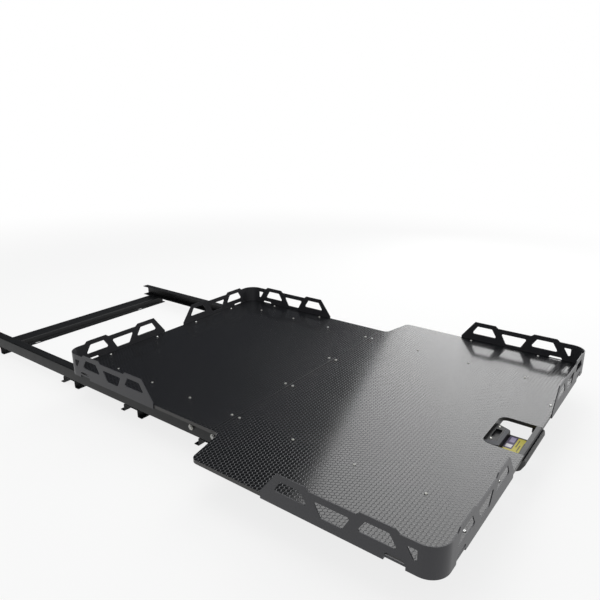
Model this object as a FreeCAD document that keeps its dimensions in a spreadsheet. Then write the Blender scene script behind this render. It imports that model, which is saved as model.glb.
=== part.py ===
"""Truck bed slide: a floor frame with rollers and a T-shaped plywood tray that runs out of the tub.

X is across the truck, +Y points to the cab and +Z up. The origin is the middle of the floor frame's
underside. The tray is drawn pulled out to its stop, with the seam of its two panels over the front
end of the floor frame. Tray pieces measure their Y from that seam.
"""
import FreeCAD, Part
import math
import os
import re
import Sketcher

SIZES = (
    ("deck_thickness", 12.0, "plywood"),
    ("front_panel_width", 1320.0, "wide panel, behind the wheel arches"),
    ("rear_panel_width", 1040.0, "narrow panel, between the wheel arches"),
    ("front_panel_length", 800.0, "seam to front edge"),
    ("rear_panel_length", 755.0, "seam to cab edge"),
    ("seam_gap", 1.0, "between the two panels"),
    ("deck_corner", 50.0, "radius of the deck's corners"),
    ("shoulder_start", 30.0, "seam to the inner corner of the shoulder"),
    ("shoulder_end", 58.0, "seam to the outer corner of the shoulder"),
    ("shoulder_round", 22.0, "radius of the shoulder's corners"),
    ("notch_width", 184.0, "hand notch in the front edge"),
    ("notch_depth", 125.0, "hand notch, front to back"),
    ("notch_round", 27.0, "radius of the notch's back corners"),
    ("strap_length", 54.0, "strap gap along the deck's edge"),
    ("strap_start", 78.0, "deck corner to strap gap"),
    ("strap_depth", 8.0, "strap gap, into the deck"),
    ("rail_sheet", 3.0, "corner rail sheet"),
    ("rail_side_leg", 486.0, "corner rail, leg along the side"),
    ("rail_cross_leg", 465.0, "corner rail, leg across the deck"),
    ("rail_low", 70.0, "low top edge over the deck"),
    ("rail_high", 79.0, "high top edge over the deck"),
    ("rail_flange", 25.0, "flange under the deck"),
    ("rail_end_height", 8.0, "upright end of the rail over the deck"),
    ("rail_end_slope", 54.0, "length of the sloping end"),
    ("rail_end_margin", 96.0, "rail end to the middle of its first hole"),
    ("crest_half", 43.0, "half of a high stretch"),
    ("crest_ramp", 11.0, "ramp from high to low"),
    ("hole_pitch", 120.0, "middle to middle of the holes"),
    ("hole_long_half", 51.5, "half of a hole's long edge"),
    ("hole_short_half", 30.0, "half of a hole's short edge"),
    ("hole_foot", 27.0, "lower edge of an upright hole over the deck"),
    ("hole_head", 61.0, "upper edge of an upright hole over the deck"),
    ("turned_foot", 12.0, "lower edge of a turned hole over the deck"),
    ("turned_head", 51.0, "upper edge of a turned hole over the deck"),
    ("hole_round", 5.0, "radius of the holes' corners"),
    ("strap_lift", 6.0, "strap gap in the rail's lower edge"),
    ("strap_slot_height", 7.5, "strap slot over the deck"),
    ("strap_slot_slant", 7.0, "slant of the strap slot's ends"),
    ("screw_inset", 17.0, "deck edge to rail screws"),
    ("side_screw_near", 165.0, "deck corner to the first side screw"),
    ("side_screw_far", 437.0, "deck corner to the second side screw"),
    ("cross_screw_near", 172.0, "deck corner to the first cross screw"),
    ("cross_screw_far", 407.0, "deck corner to the second cross screw"),
    ("deck_screw_out", 415.0, "deck screws over the runners"),
    ("seam_screw_out", 138.0, "inner seam screws"),
    ("seam_screw_row", 16.0, "seam to its screws"),
    ("rear_row_first", 210.0, "seam to the next rear row"),
    ("rear_row_margin", 155.0, "cab edge to the last rear row"),
    ("front_row_first", 229.0, "seam to the next front row"),
    ("front_row_margin", 147.0, "front edge to the last front row"),
    ("screw_shank", 2.5, "radius of deck and rail screws"),
    ("screw_head", 4.6, "radius of a button head"),
    ("screw_head_height", 2.4, "height of a button head"),
    ("screw_length", 20.0, "under the head"),
    ("nut_height", 4.5, "nut under the flange"),
    ("nut_flat", 9.0, "across the nut's flats"),
    ("tray_rail_length", 1510.0, "runner under the deck"),
    ("tray_rail_front", 775.0, "seam to the runner's front end"),
    ("channel_height", 50.0, "runner and base rail"),
    ("channel_sheet", 3.0, "runner and base rail"),
    ("channel_round", 5.0, "outer bend radius"),
    ("tray_channel_width", 38.0, "runner, web to flange edge"),
    ("base_channel_width", 36.0, "base rail, web to flange edge"),
    ("channel_gap", 4.0, "runner flange to base flange"),
    ("runner_inset", 23.0, "runner web to the deck screws' line"),
    ("rail_step", 8.0, "runner over the base rail"),
    ("bearer_height", 25.0, "cross bearers"),
    ("bearer_width", 40.0, "cross bearers"),
    ("seam_bearer_width", 70.0, "bearer under the seam"),
    ("bearer_wall", 2.0, "cross bearers"),
    ("bearer_end_gap", 40.0, "bearer end to the deck's edge"),
    ("cap_thickness", 3.0, "end caps of the bearers"),
    ("base_rail_length", 1520.0, "floor frame"),
    ("cross_height", 30.0, "floor cross members"),
    ("cross_width", 80.0, "top of a cross member"),
    ("cross_foot", 20.0, "foot of a cross member"),
    ("cross_sheet", 3.0, "cross members"),
    ("cross_inset", 80.0, "frame end to the outer cross members"),
    ("stroke", 780.0, "travel of the tray"),
    ("foot_slot_out", 300.0, "fixing slots"),
    ("foot_slot_half", 5.5, "half width of a fixing slot"),
    ("foot_slot_length", 30.0, "fixing slot"),
    ("striker_gap", 18.0, "between the lugs that hold the pawl"),
    ("striker_width", 13.0, "striker lugs"),
    ("striker_thickness", 8.0, "striker lugs"),
    ("striker_lean", 3.0, "striker lugs' inner faces, foot to top"),
    ("striker_height", 14.0, "striker lugs over the cross member"),
    ("roller_radius", 21.0, "rollers"),
    ("roller_width", 24.0, "rollers"),
    ("roller_gap", 0.3, "roller to the flange that it carries"),
    ("roller_first", 45.0, "frame end to the first base roller"),
    ("roller_pitch", 100.0, "between a pair of rollers"),
    ("tray_roller_last", 690.0, "seam to the last tray roller"),
    ("axle_radius", 6.0, "axle bolts"),
    ("axle_clearance", 0.05, "roller bore over the axle bolt"),
    ("axle_head", 3.6, "thickness of the bolt head"),
    ("axle_head_radius", 9.5, "bolt head and spacer"),
    ("axle_nut", 7.0, "axle nut"),
    ("axle_nut_flat", 19.0, "across the axle nut's flats"),
    ("side_play", 0.2, "roller to head and spacer"),
    ("stop_out", 362.0, "stops, from the middle"),
    ("stop_width", 28.0, "stop bracket"),
    ("stop_height", 30.0, "stop bracket"),
    ("stop_length", 20.0, "stop bracket"),
    ("stop_sheet", 5.0, "stop bracket"),
    ("buffer_length", 8.0, "rubber buffer"),
    ("buffer_radius", 9.0, "rubber buffer"),
    ("stop_clearance", 0.3, "lug to buffer at either end"),
    ("lug_thickness", 6.0, "stop lug on the runner"),
    ("lug_reach", 46.0, "stop lug, in from the runner"),
    ("lug_height", 28.0, "stop lug"),
    ("lug_ahead", 4.0, "lug face past the middle of the front cross member"),
    ("latch_plate_drop", 37.0, "deck top to latch plate"),
    ("latch_plate_width", 116.0, "latch plate"),
    ("latch_plate_sheet", 3.0, "latch plate"),
    ("housing_screw_out", 40.0, "housing screws"),
    ("housing_screw_back", 15.0, "bearer to the housing screws"),
    ("grip_width", 17.0, "top strip of the handle"),
    ("grip_side_gap", 0.5, "handle to the notch's sides"),
    ("grip_lug", 6.0, "handle's lug under the deck"),
    ("lever_half", 110.0, "half of the release lever"),
    ("lever_gap", 2.0, "lever to handle"),
    ("lever_wall", 4.0, "lever shell"),
    ("lever_bulge", 4.0, "lever's front face, middle over its upper edge"),
    ("lever_height", 38.5, "release lever"),
    ("lever_end_round", 21.0, "lever's ends in plan"),
    ("lever_pivot_back", 32.0, "deck's front edge to the lever's pin"),
    ("lever_pivot_drop", 48.0, "deck top to the lever's pin"),
    ("pin_radius", 4.0, "lever and pawl pins"),
    ("pin_clearance", 0.05, "bores over those pins"),
    ("lever_arm", 25.0, "lever pin to rod pin"),
    ("pawl_arm", 20.0, "pawl pin to rod pin"),
    ("pawl_reach", 105.0, "pawl pin to the middle of the tip"),
    ("pawl_tip", 12.0, "tip of the pawl"),
    ("pawl_thickness", 10.0, "pawl and lever arm"),
    ("pawl_offset", 22.0, "pawl's long arm beside the rod"),
    ("pawl_hub", 9.0, "radius of the pawl's hub"),
    ("pawl_lift", 3.0, "tip over the striker lugs when released"),
    ("tip_shift", 2.75, "tip ahead of the middle of the striker"),
    ("spring_wire", 1.0, "radius of the lock spring's wire"),
    ("spring_turns", 5.0, "turns of the lock spring"),
    ("rod_radius", 4.0, "pull rod"),
    ("rod_pin_radius", 3.0, "pins in the rod's forks"),
    ("rod_pin_slack", 0.4, "eyes over the rod pins"),
    ("fork_half", 9.5, "half width of a fork"),
    ("fork_slack", 0.4, "fork to arm"),
    ("guide_clearance", 0.1, "guide bore over the rod"),
)

DERIVED = {
    "front_half": "front_panel_width / 2",
    "rear_half": "rear_panel_width / 2",
    "notch_half": "notch_width / 2",
    "rear_row_pitch": "(rear_panel_length - rear_row_margin - rear_row_first) / 2",
    "front_row_pitch": "(front_panel_length - front_row_margin - front_row_first) / 2",
    "seam_place": "-base_rail_length / 2",
    "tray_rail_bottom": "cross_height + rail_step",
    "tray_rail_top": "tray_rail_bottom + channel_height",
    "deck_bottom": "tray_rail_top + bearer_height",
    "deck_top": "deck_bottom + deck_thickness",
    "tray_web": "deck_screw_out - runner_inset",
    "tray_edge": "tray_web + tray_channel_width",
    "base_edge": "tray_edge + channel_gap",
    "base_web": "base_edge + base_channel_width",
    "base_roller_height": "tray_rail_top - channel_sheet - roller_gap - roller_radius",
    "tray_roller_height": "cross_height + channel_height - channel_sheet - roller_gap - roller_radius",
    "base_roller_out": "tray_web + channel_sheet + axle_head + roller_width / 2 + side_play + 1.2",
    "tray_roller_out": "base_web - channel_sheet - axle_head - roller_width / 2 - side_play - 1.2",
    "axle_grip": "base_web - base_roller_out + roller_width / 2 + side_play",
    "front_cross": "cross_inset",
    "strike_cross": "cross_inset + stroke",
    "rear_cross": "base_rail_length - cross_inset",
    "middle_cross": "(front_cross + strike_cross) / 2",
    "lug_front": "front_cross + lug_ahead",
    "plate_top": "deck_top - latch_plate_drop",
    "lever_pivot_along": "-front_panel_length + lever_pivot_back",
    "lever_pivot_up": "deck_top - lever_pivot_drop",
    "rod_height": "lever_pivot_up - lever_arm",
    "pawl_pivot_up": "rod_height + pawl_arm",
    "pawl_pivot_along": "front_cross - tip_shift + pawl_reach",
}

document = FreeCAD.newDocument("truck_bed_slide")
sheet = document.addObject("Spreadsheet::Sheet", "Sizes")
for row, (name, size, note) in enumerate(SIZES, start=1):
    sheet.set(f"A{row}", note)
    sheet.set(f"B{row}", str(size))
    sheet.setAlias(f"B{row}", name)
document.recompute()
ALIASES = {name for name, size, note in SIZES}
pieces = []


def formula(words):
    """Turn a sum of size names into an expression on the sheet's cells."""
    def cell(match):
        word = match.group(0)
        if word in DERIVED:
            return "(" + formula(DERIVED[word]) + ")"
        return "Sizes." + word if word in ALIASES else word
    return re.sub(r"[a-z_]+", cell, str(words))


def size_of(words):
    """The present value of a sum of size names."""
    return float(sheet.evalExpression(formula(words)))


def scaled(sign, words):
    """A length with the sign of its side."""
    return f"{sign} * ({words})"


def place(piece, x="0", y="0", z="0"):
    """Bind where a piece stands."""
    piece.setExpression("Placement.Base.x", formula(x))
    piece.setExpression("Placement.Base.y", formula(y))
    piece.setExpression("Placement.Base.z", formula(z))


def new_body(label, x="0", y="0", z="0", keep=True):
    """Start a body; one that is kept becomes a node of that name."""
    body = document.addObject("PartDesign::Body", label)
    body.Label = label
    place(body, x, y, z)
    if keep:
        pieces.append(body)
    return body


def new_sketch(body, plane, offset="0"):
    """A sketch on one of the body's own planes, moved along its normal."""
    sketch = body.newObject("Sketcher::SketchObject", body.Label + "_sketch")
    sketch.AttachmentSupport = [(next(f for f in body.Origin.OriginFeatures if f.Role == plane), "")]
    sketch.MapMode = "FlatFace"
    sketch.setExpression("AttachmentOffset.Base.z", formula(offset))
    return sketch


def bind(sketch, kind, *where, words):
    """Add one dimension to a sketch and bind it to the sheet."""
    number = sketch.addConstraint(Sketcher.Constraint(kind, *where, size_of(words)))
    sketch.setExpression(f"Constraints[{number}]", formula(words))


def bind_point(sketch, geometry, end, x, y):
    """Dimension a point from the sketch's origin."""
    bind(sketch, "DistanceX", -1, 1, geometry, end, words=x)
    bind(sketch, "DistanceY", -1, 1, geometry, end, words=y)


def draw_circle(sketch, x, y, radius):
    """A dimensioned circle."""
    centre = FreeCAD.Vector(size_of(x), size_of(y), 0)
    circle = sketch.addGeometry(Part.Circle(centre, FreeCAD.Vector(0, 0, 1), size_of(radius)), False)
    bind_point(sketch, circle, 3, x, y)
    bind(sketch, "Radius", circle, words=radius)


def draw_loop(sketch, corners):
    """A closed outline: corners are (x, y) or (x, y, radius), each a sum of size names."""
    count = len(corners)
    sharp = [FreeCAD.Vector(size_of(c[0]), size_of(c[1]), 0) for c in corners]
    starts, ends, arcs = [], [], []
    for here in range(count):
        back = (sharp[here - 1] - sharp[here]).normalize()
        ahead = (sharp[(here + 1) % count] - sharp[here]).normalize()
        if len(corners[here]) < 3:
            starts.append(sharp[here])
            ends.append(sharp[here])
            arcs.append(None)
            continue
        radius = size_of(corners[here][2])
        half = back.getAngle(ahead) / 2
        reach = radius / math.tan(half)
        first = sharp[here] + back * reach
        last = sharp[here] + ahead * reach
        centre = sharp[here] + (back + ahead).normalize() * (radius / math.sin(half))
        left_turn = back.cross(ahead).z < 0
        begin, finish = (first, last) if left_turn else (last, first)
        angles = [math.atan2(p.y - centre.y, p.x - centre.x) for p in (begin, finish)]
        if angles[1] < angles[0]:
            angles[1] += 2 * math.pi
        circle = Part.Circle(centre, FreeCAD.Vector(0, 0, 1), radius)
        starts.append(last)
        ends.append(first)
        arcs.append((Part.ArcOfCircle(circle, *angles), left_turn))
    lines = [sketch.addGeometry(Part.LineSegment(starts[i], ends[(i + 1) % count]), False)
             for i in range(count)]
    for here in range(count):
        before, after = lines[here - 1], lines[here]
        x, y = corners[here][:2]
        if arcs[here] is None:
            sketch.addConstraint(Sketcher.Constraint("Coincident", before, 2, after, 1))
            bind_point(sketch, after, 1, x, y)
            continue
        shape, left_turn = arcs[here]
        arc = sketch.addGeometry(shape, False)
        begin, finish = (1, 2) if left_turn else (2, 1)
        sketch.addConstraint(Sketcher.Constraint("Tangent", before, 2, arc, begin))
        sketch.addConstraint(Sketcher.Constraint("Tangent", after, 1, arc, finish))
        bind(sketch, "Radius", arc, words=corners[here][2])
        corner = sketch.addGeometry(Part.Point(sharp[here]), True)
        sketch.addConstraint(Sketcher.Constraint("PointOnObject", corner, 1, before))
        sketch.addConstraint(Sketcher.Constraint("PointOnObject", corner, 1, after))
        bind_point(sketch, corner, 1, x, y)


def box_corners(x_low, x_high, y_low, y_high, radius=None):
    """The corners of a rectangle, rounded if a radius is given."""
    ends = ((x_low, y_low), (x_high, y_low), (x_high, y_high), (x_low, y_high))
    return [end + (radius,) for end in ends] if radius else list(ends)


def pad(body, sketch, length, middle=False):
    """Extrude a sketch along its normal, or to both sides of it."""
    feature = body.newObject("PartDesign::Pad", body.Label + "_pad")
    feature.Profile = sketch
    feature.SideType = "Symmetric" if middle else "One side"
    feature.setExpression("Length", formula(length))
    document.recompute()
    return feature


def volume(body):
    """The body's present volume."""
    return body.Shape.Volume


def cut(body, sketch, depth=None, upward=False):
    """Cut a sketch through the whole body both ways, or to a depth along the sketch's normal."""
    before = volume(body)
    feature = body.newObject("PartDesign::Pocket", body.Label + "_pocket")
    feature.Profile = sketch
    if depth is None:
        feature.Type = "ThroughAll"
        feature.SideType = "Symmetric"
    else:
        feature.setExpression("Length", formula(depth))
        feature.Reversed = upward
    document.recompute()
    assert volume(body) < before - 0.01, body.Label + ": a pocket cuts nothing"
    return feature


def turn(body, sketch, axis):
    """Revolve a sketch about one of its own axes."""
    feature = body.newObject("PartDesign::Revolution", body.Label + "_revolution")
    feature.Profile = sketch
    feature.ReferenceAxis = (sketch, [axis])
    feature.Angle = 360
    document.recompute()
    return feature


def group(label, form, places):
    """Equal loose pieces in one node: places are (x, y, z, half turns about Z)."""
    document.recompute()
    copies = []
    for x, y, z, half_turns in places:
        copy = form.Shape.copy()
        copy.rotate(FreeCAD.Vector(), FreeCAD.Vector(0, 0, 1), 180 * half_turns)
        copy.translate(FreeCAD.Vector(size_of(x), size_of(y), size_of(z)))
        copies.append(copy)
    node = document.addObject("Part::Feature", label)
    node.Label = label
    node.Shape = Part.makeCompound(copies)
    node.Placement = FreeCAD.Placement()
    pieces.append(node)
    return node


def from_seam(words):
    """A place along the tray, measured from the seam, in the part's own frame."""
    return f"seam_place + ({words})"


# Deck

REAR_ROWS = [f"rear_row_first + rear_row_pitch * {n}" for n in range(3)]
FRONT_ROWS = [f"-front_row_first - front_row_pitch * {n}" for n in range(3)]
SEAM_POINTS = [scaled(side, out) for side in (-1, 1) for out in ("deck_screw_out", "seam_screw_out")]


def deck_screw_points(rows, seam_side):
    """Where a panel is screwed to the bearers."""
    points = [(x, f"{seam_side} * seam_screw_row") for x in SEAM_POINTS]
    points += [(scaled(side, "deck_screw_out"), row) for row in rows for side in (-1, 1)]
    return points


def rail_screw_points(half, length, end):
    """Where the two rails at one end of the deck are screwed."""
    points = []
    for side in (-1, 1):
        for along in ("side_screw_near", "side_screw_far"):
            points.append((scaled(side, f"{half} - screw_inset"), scaled(end, f"{length} - {along}")))
        for across in ("cross_screw_near", "cross_screw_far"):
            points.append((scaled(side, f"{half} - {across}"), scaled(end, f"{length} - screw_inset")))
    return points


def strap_gaps(panel, half, length, end):
    """Cut the strap gaps into a panel's edges, two beside each corner."""
    sketch = new_sketch(panel, "XY_Plane")
    over = 2
    for side in (-1, 1):
        draw_loop(sketch, box_corners(
            scaled(side, f"{half} - strap_depth"), scaled(side, f"{half} + {over}"),
            scaled(end, f"{length} - strap_start - strap_length"), scaled(end, f"{length} - strap_start")))
        draw_loop(sketch, box_corners(
            scaled(side, f"{half} - strap_start - strap_length"), scaled(side, f"{half} - strap_start"),
            scaled(end, f"{length} - strap_depth"), scaled(end, f"{length} + {over}")))
    cut(panel, sketch)


def screw_holes(panel, points):
    """Drill a panel for its screws."""
    sketch = new_sketch(panel, "XY_Plane")
    for x, y in points:
        draw_circle(sketch, x, y, "screw_shank")
    cut(panel, sketch)


front_panel = new_body("deck_front_panel", y="seam_place", z="deck_bottom")
outline = new_sketch(front_panel, "XY_Plane")
right_side = [
    ("rear_half", "-seam_gap / 2"), ("rear_half", "-shoulder_start", "shoulder_round"),
    ("front_half", "-shoulder_end", "shoulder_round"), ("front_half", "-front_panel_length", "deck_corner"),
    ("notch_half", "-front_panel_length"),
    ("notch_half", "-front_panel_length + notch_depth", "notch_round")]
left_side = [("-1 * " + corner[0],) + corner[1:] for corner in reversed(right_side)]
draw_loop(outline, right_side + left_side)
pad(front_panel, outline, "deck_thickness")
strap_gaps(front_panel, "front_half", "front_panel_length", -1)
front_rail_screws = rail_screw_points("front_half", "front_panel_length", -1)
front_deck_screws = deck_screw_points(FRONT_ROWS, -1)
screw_holes(front_panel, front_deck_screws + front_rail_screws)

rear_panel = new_body("deck_rear_panel", y="seam_place", z="deck_bottom")
outline = new_sketch(rear_panel, "XY_Plane")
draw_loop(outline, [
    ("-rear_half", "seam_gap / 2"), ("rear_half", "seam_gap / 2"),
    ("rear_half", "rear_panel_length", "deck_corner"), ("-rear_half", "rear_panel_length", "deck_corner")])
pad(rear_panel, outline, "deck_thickness")
strap_gaps(rear_panel, "rear_half", "rear_panel_length", 1)
rear_rail_screws = rail_screw_points("rear_half", "rear_panel_length", 1)
rear_deck_screws = deck_screw_points(REAR_ROWS, 1)
screw_holes(rear_panel, rear_deck_screws + rear_rail_screws)


# Corner rails

def hole_corners(middle, turned):
    """One trapezoid hole: (distance from the corner, height over the deck's underside)."""
    foot, head = ("turned_foot", "turned_head") if turned else ("hole_foot", "hole_head")
    low, high = ("hole_short_half", "hole_long_half") if turned else ("hole_long_half", "hole_short_half")
    return [(f"{middle} - {low}", f"deck_thickness + {foot}", "hole_round"),
            (f"{middle} + {low}", f"deck_thickness + {foot}", "hole_round"),
            (f"{middle} + {high}", f"deck_thickness + {head}", "hole_round"),
            (f"{middle} - {high}", f"deck_thickness + {head}", "hole_round")]


def leg_crests(leg):
    """The two high stretches of a leg, over its upright holes."""
    first = f"{leg} - rail_end_margin"
    second = f"{first} - hole_pitch * 2"
    root = "deck_thickness + rail_low - rail_sheet"
    low = "deck_thickness + rail_low"
    high = "deck_thickness + rail_high"
    return [
        [(f"{first} - crest_half - crest_ramp", root), (leg, root), (leg, high),
         (f"{first} - crest_half", high), (f"{first} - crest_half - crest_ramp", low)],
        [(f"{second} - crest_half - crest_ramp", root), (f"{second} + crest_half + crest_ramp", root),
         (f"{second} + crest_half + crest_ramp", low), (f"{second} + crest_half", high),
         (f"{second} - crest_half", high), (f"{second} - crest_half - crest_ramp", low)]]


def leg_cuts(leg):
    """What is cut from a leg: sloping end, strap gap and three holes."""
    first = f"{leg} - rail_end_margin"
    high = "deck_thickness + rail_high"
    over = 5
    slope = [(leg, "deck_thickness + rail_end_height"), (f"{leg} + {over}", "deck_thickness + rail_end_height"),
             (f"{leg} + {over}", f"{high} + {over}"), (f"{leg} - rail_end_slope", f"{high} + {over}"),
             (f"{leg} - rail_end_slope", high)]
    strap = box_corners("strap_start", "strap_start + strap_length", f"-rail_sheet - {over}", "strap_lift")
    slot = [("strap_start", "deck_thickness", "2"), ("strap_start + strap_length", "deck_thickness", "2"),
            ("strap_start + strap_length - strap_slot_slant", "deck_thickness + strap_slot_height", "2"),
            ("strap_start + strap_slot_slant", "deck_thickness + strap_slot_height", "2")]
    holes = [hole_corners(f"({first} - hole_pitch * {n})", n == 1) for n in range(3)]
    return [slope, strap, slot] + holes


def half_hole():
    """The part of a fourth, turned hole that ends at the bend of the side leg."""
    middle = "(rail_side_leg - rail_end_margin - hole_pitch * 3)"
    edge = "deck_corner + rail_sheet"
    return [(edge, "deck_thickness + turned_foot + 12", "hole_round / 2"),
            (f"{middle} + hole_short_half", "deck_thickness + turned_foot + 8", "hole_round / 2"),
            (f"{middle} + hole_long_half - 2", "deck_thickness + turned_head", "hole_round / 2"),
            (edge, "deck_thickness + turned_head", "hole_round / 2")]


def corner_rail(label, side, end, half, length):
    """A folded rail round one corner of the deck; side is +1 on the right, end +1 at the cab."""
    rail = new_body(label, scaled(side, half), from_seam(scaled(end, length)), "deck_bottom")

    def plan(corners):
        return [(scaled(-side, c[0]), scaled(-end, c[1])) + tuple(c[2:]) for c in corners]

    def along_side(corners):
        return [(scaled(-end, c[0]),) + tuple(c[1:]) for c in corners]

    def across(corners):
        return [(scaled(-side, c[0]),) + tuple(c[1:]) for c in corners]

    wall = new_sketch(rail, "XY_Plane", "-rail_sheet")
    draw_loop(wall, plan([
        ("-rail_sheet", "rail_side_leg"), ("-rail_sheet", "-rail_sheet", "deck_corner + rail_sheet"),
        ("rail_cross_leg", "-rail_sheet"), ("rail_cross_leg", "0"), ("0", "0", "deck_corner"),
        ("0", "rail_side_leg")]))
    pad(rail, wall, "rail_sheet + deck_thickness + rail_low")
    flange = new_sketch(rail, "XY_Plane", "-rail_sheet")
    draw_loop(flange, plan([
        ("-rail_sheet", "rail_side_leg"), ("-rail_sheet", "-rail_sheet", "deck_corner + rail_sheet"),
        ("rail_cross_leg", "-rail_sheet"), ("rail_cross_leg", "rail_flange"),
        ("rail_flange", "rail_flange", "deck_corner / 2"), ("rail_flange", "rail_side_leg")]))
    pad(rail, flange, "rail_sheet")
    crests = new_sketch(rail, "YZ_Plane", "0" if side > 0 else "-rail_sheet")
    for crest in leg_crests("rail_side_leg"):
        draw_loop(crests, along_side(crest))
    pad(rail, crests, "rail_sheet")
    crests = new_sketch(rail, "XZ_Plane", "0" if end < 0 else "-rail_sheet")
    for crest in leg_crests("rail_cross_leg"):
        draw_loop(crests, across(crest))
    pad(rail, crests, "rail_sheet")
    windows = new_sketch(rail, "YZ_Plane")
    for loop in leg_cuts("rail_side_leg") + [half_hole()]:
        draw_loop(windows, along_side(loop))
    cut(rail, windows)
    windows = new_sketch(rail, "XZ_Plane")
    for loop in leg_cuts("rail_cross_leg"):
        draw_loop(windows, across(loop))
    cut(rail, windows)
    holes = new_sketch(rail, "XY_Plane")
    for along in ("side_screw_near", "side_screw_far"):
        draw_circle(holes, scaled(-side, "screw_inset"), scaled(-end, along), "screw_shank")
    for over in ("cross_screw_near", "cross_screw_far"):
        draw_circle(holes, scaled(-side, over), scaled(-end, "screw_inset"), "screw_shank")
    cut(rail, holes)


for side, side_name in ((-1, "left"), (1, "right")):
    corner_rail(f"front_rail_{side_name}", side, -1, "front_half", "front_panel_length")
    corner_rail(f"cab_rail_{side_name}", side, 1, "rear_half", "rear_panel_length")


# Deck screws, rail screws and nuts

screw = new_body("screw_form", keep=False)
profile = new_sketch(screw, "XZ_Plane")
draw_loop(profile, [
    ("0", "-screw_length"), ("screw_shank", "-screw_length"), ("screw_shank", "0"), ("screw_head", "0"),
    ("screw_head * 0.55", "screw_head_height"), ("0", "screw_head_height")])
turn(screw, profile, "V_Axis")
all_deck_screws = front_deck_screws + rear_deck_screws
group("deck_screws", screw, [(x, from_seam(y), "deck_top", 0) for x, y in all_deck_screws])
all_rail_screws = front_rail_screws + rear_rail_screws
group("rail_screws", screw, [(x, from_seam(y), "deck_top", 0) for x, y in all_rail_screws])


def hex_corners(flat):
    """The corners of a hexagon of a given width across its flats."""
    return [(f"{flat} * {math.cos(a) / math.sqrt(3):.6f}", f"{flat} * {math.sin(a) / math.sqrt(3):.6f}")
            for a in (math.pi / 3 * n for n in range(6))]


nut = new_body("nut_form", keep=False)
profile = new_sketch(nut, "XY_Plane")
draw_loop(profile, hex_corners("nut_flat"))
draw_circle(profile, "0", "0", "screw_shank")
pad(nut, profile, "nut_height")
group("rail_nuts", nut, [(x, from_seam(y), "deck_bottom - rail_sheet - nut_height", 0)
                         for x, y in all_rail_screws])


# Cross bearers

def bearer(label, row, half, width, screws):
    """A rectangular tube across the runners, drilled in its top wall for the deck screws."""
    tube = new_body(label, y=from_seam(row), z="tray_rail_top")
    section = new_sketch(tube, "YZ_Plane")
    draw_loop(section, box_corners(f"-{width} / 2", f"{width} / 2", "0", "bearer_height", "bearer_wall * 1.5"))
    draw_loop(section, box_corners(
        f"-{width} / 2 + bearer_wall", f"{width} / 2 - bearer_wall", "bearer_wall",
        "bearer_height - bearer_wall", "bearer_wall / 2"))
    pad(tube, section, f"({half} - bearer_end_gap) * 2", middle=True)
    holes = new_sketch(tube, "XY_Plane", "bearer_height")
    for x, y in screws:
        draw_circle(holes, x, y, "screw_shank")
    cut(tube, holes, "bearer_wall * 2")


OUTER_PAIR = [(scaled(side, "deck_screw_out"), "0") for side in (-1, 1)]
BEARERS = [("front_bearer_1", FRONT_ROWS[2], "front_half"), ("front_bearer_2", FRONT_ROWS[1], "front_half"),
           ("front_bearer_3", FRONT_ROWS[0], "front_half"), ("rear_bearer_1", REAR_ROWS[0], "rear_half"),
           ("rear_bearer_2", REAR_ROWS[1], "rear_half"), ("rear_bearer_3", REAR_ROWS[2], "rear_half")]
for label, row, half in BEARERS:
    bearer(label, row, half, "bearer_width", OUTER_PAIR)
bearer("seam_bearer", "0", "rear_half", "seam_bearer_width",
       [(x, f"{end} * seam_screw_row") for x in SEAM_POINTS for end in (-1, 1)])

cap = new_body("cap_form", keep=False)
profile = new_sketch(cap, "YZ_Plane")
draw_loop(profile, box_corners("-bearer_width / 2", "bearer_width / 2", "0", "bearer_height", "bearer_wall * 1.5"))
pad(cap, profile, "cap_thickness")
caps = []
for label, row, half in BEARERS:
    for side in (-1, 1):
        caps.append((scaled(side, f"{half} - bearer_end_gap"), from_seam(row), "tray_rail_top",
                     0 if side > 0 else 1))
group("bearer_end_caps", cap, caps)


# Runners of the tray and rails of the floor frame

def channel_corners(side, web, edge, bottom):
    """A folded C section: its web at one X and its flange edges at another."""
    into = 1 if size_of(f"{edge} - ({web})") > 0 else -1
    inner_web = f"{web} + {into} * channel_sheet"
    top = f"{bottom} + channel_height"
    inner_round = "channel_round - channel_sheet"
    corners = [
        (web, bottom, "channel_round"), (edge, bottom), (edge, f"{bottom} + channel_sheet"),
        (inner_web, f"{bottom} + channel_sheet", inner_round), (inner_web, f"{top} - channel_sheet", inner_round),
        (edge, f"{top} - channel_sheet"), (edge, top), (web, top, "channel_round")]
    return [(scaled(side, c[0]),) + c[1:] for c in corners]


def channel(label, side, web, edge, bottom, middle, length, holes):
    """A channel along Y with axle holes in its web."""
    rail = new_body(label, y=middle)
    section = new_sketch(rail, "XZ_Plane")
    draw_loop(section, channel_corners(side, web, edge, bottom))
    pad(rail, section, length, middle=True)
    drilling = new_sketch(rail, "YZ_Plane")
    for along, up in holes:
        draw_circle(drilling, f"{along} - ({middle})", up, "axle_radius")
    cut(rail, drilling)


BASE_ROLLERS = [f"seam_place + roller_first + roller_pitch * {n}" for n in range(2)]
TRAY_ROLLERS = [f"seam_place + tray_roller_last - roller_pitch * {n}" for n in (1, 0)]
SIDES = ((-1, "left"), (1, "right"))
for side, side_name in SIDES:
    channel(f"tray_runner_{side_name}", side, "tray_web", "tray_edge", "tray_rail_bottom",
            "seam_place - tray_rail_front + tray_rail_length / 2", "tray_rail_length",
            [(along, "tray_roller_height") for along in TRAY_ROLLERS])
    channel(f"base_rail_{side_name}", side, "base_web", "base_edge", "cross_height", "0",
            "base_rail_length", [(along, "base_roller_height") for along in BASE_ROLLERS])


# Floor cross members

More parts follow.
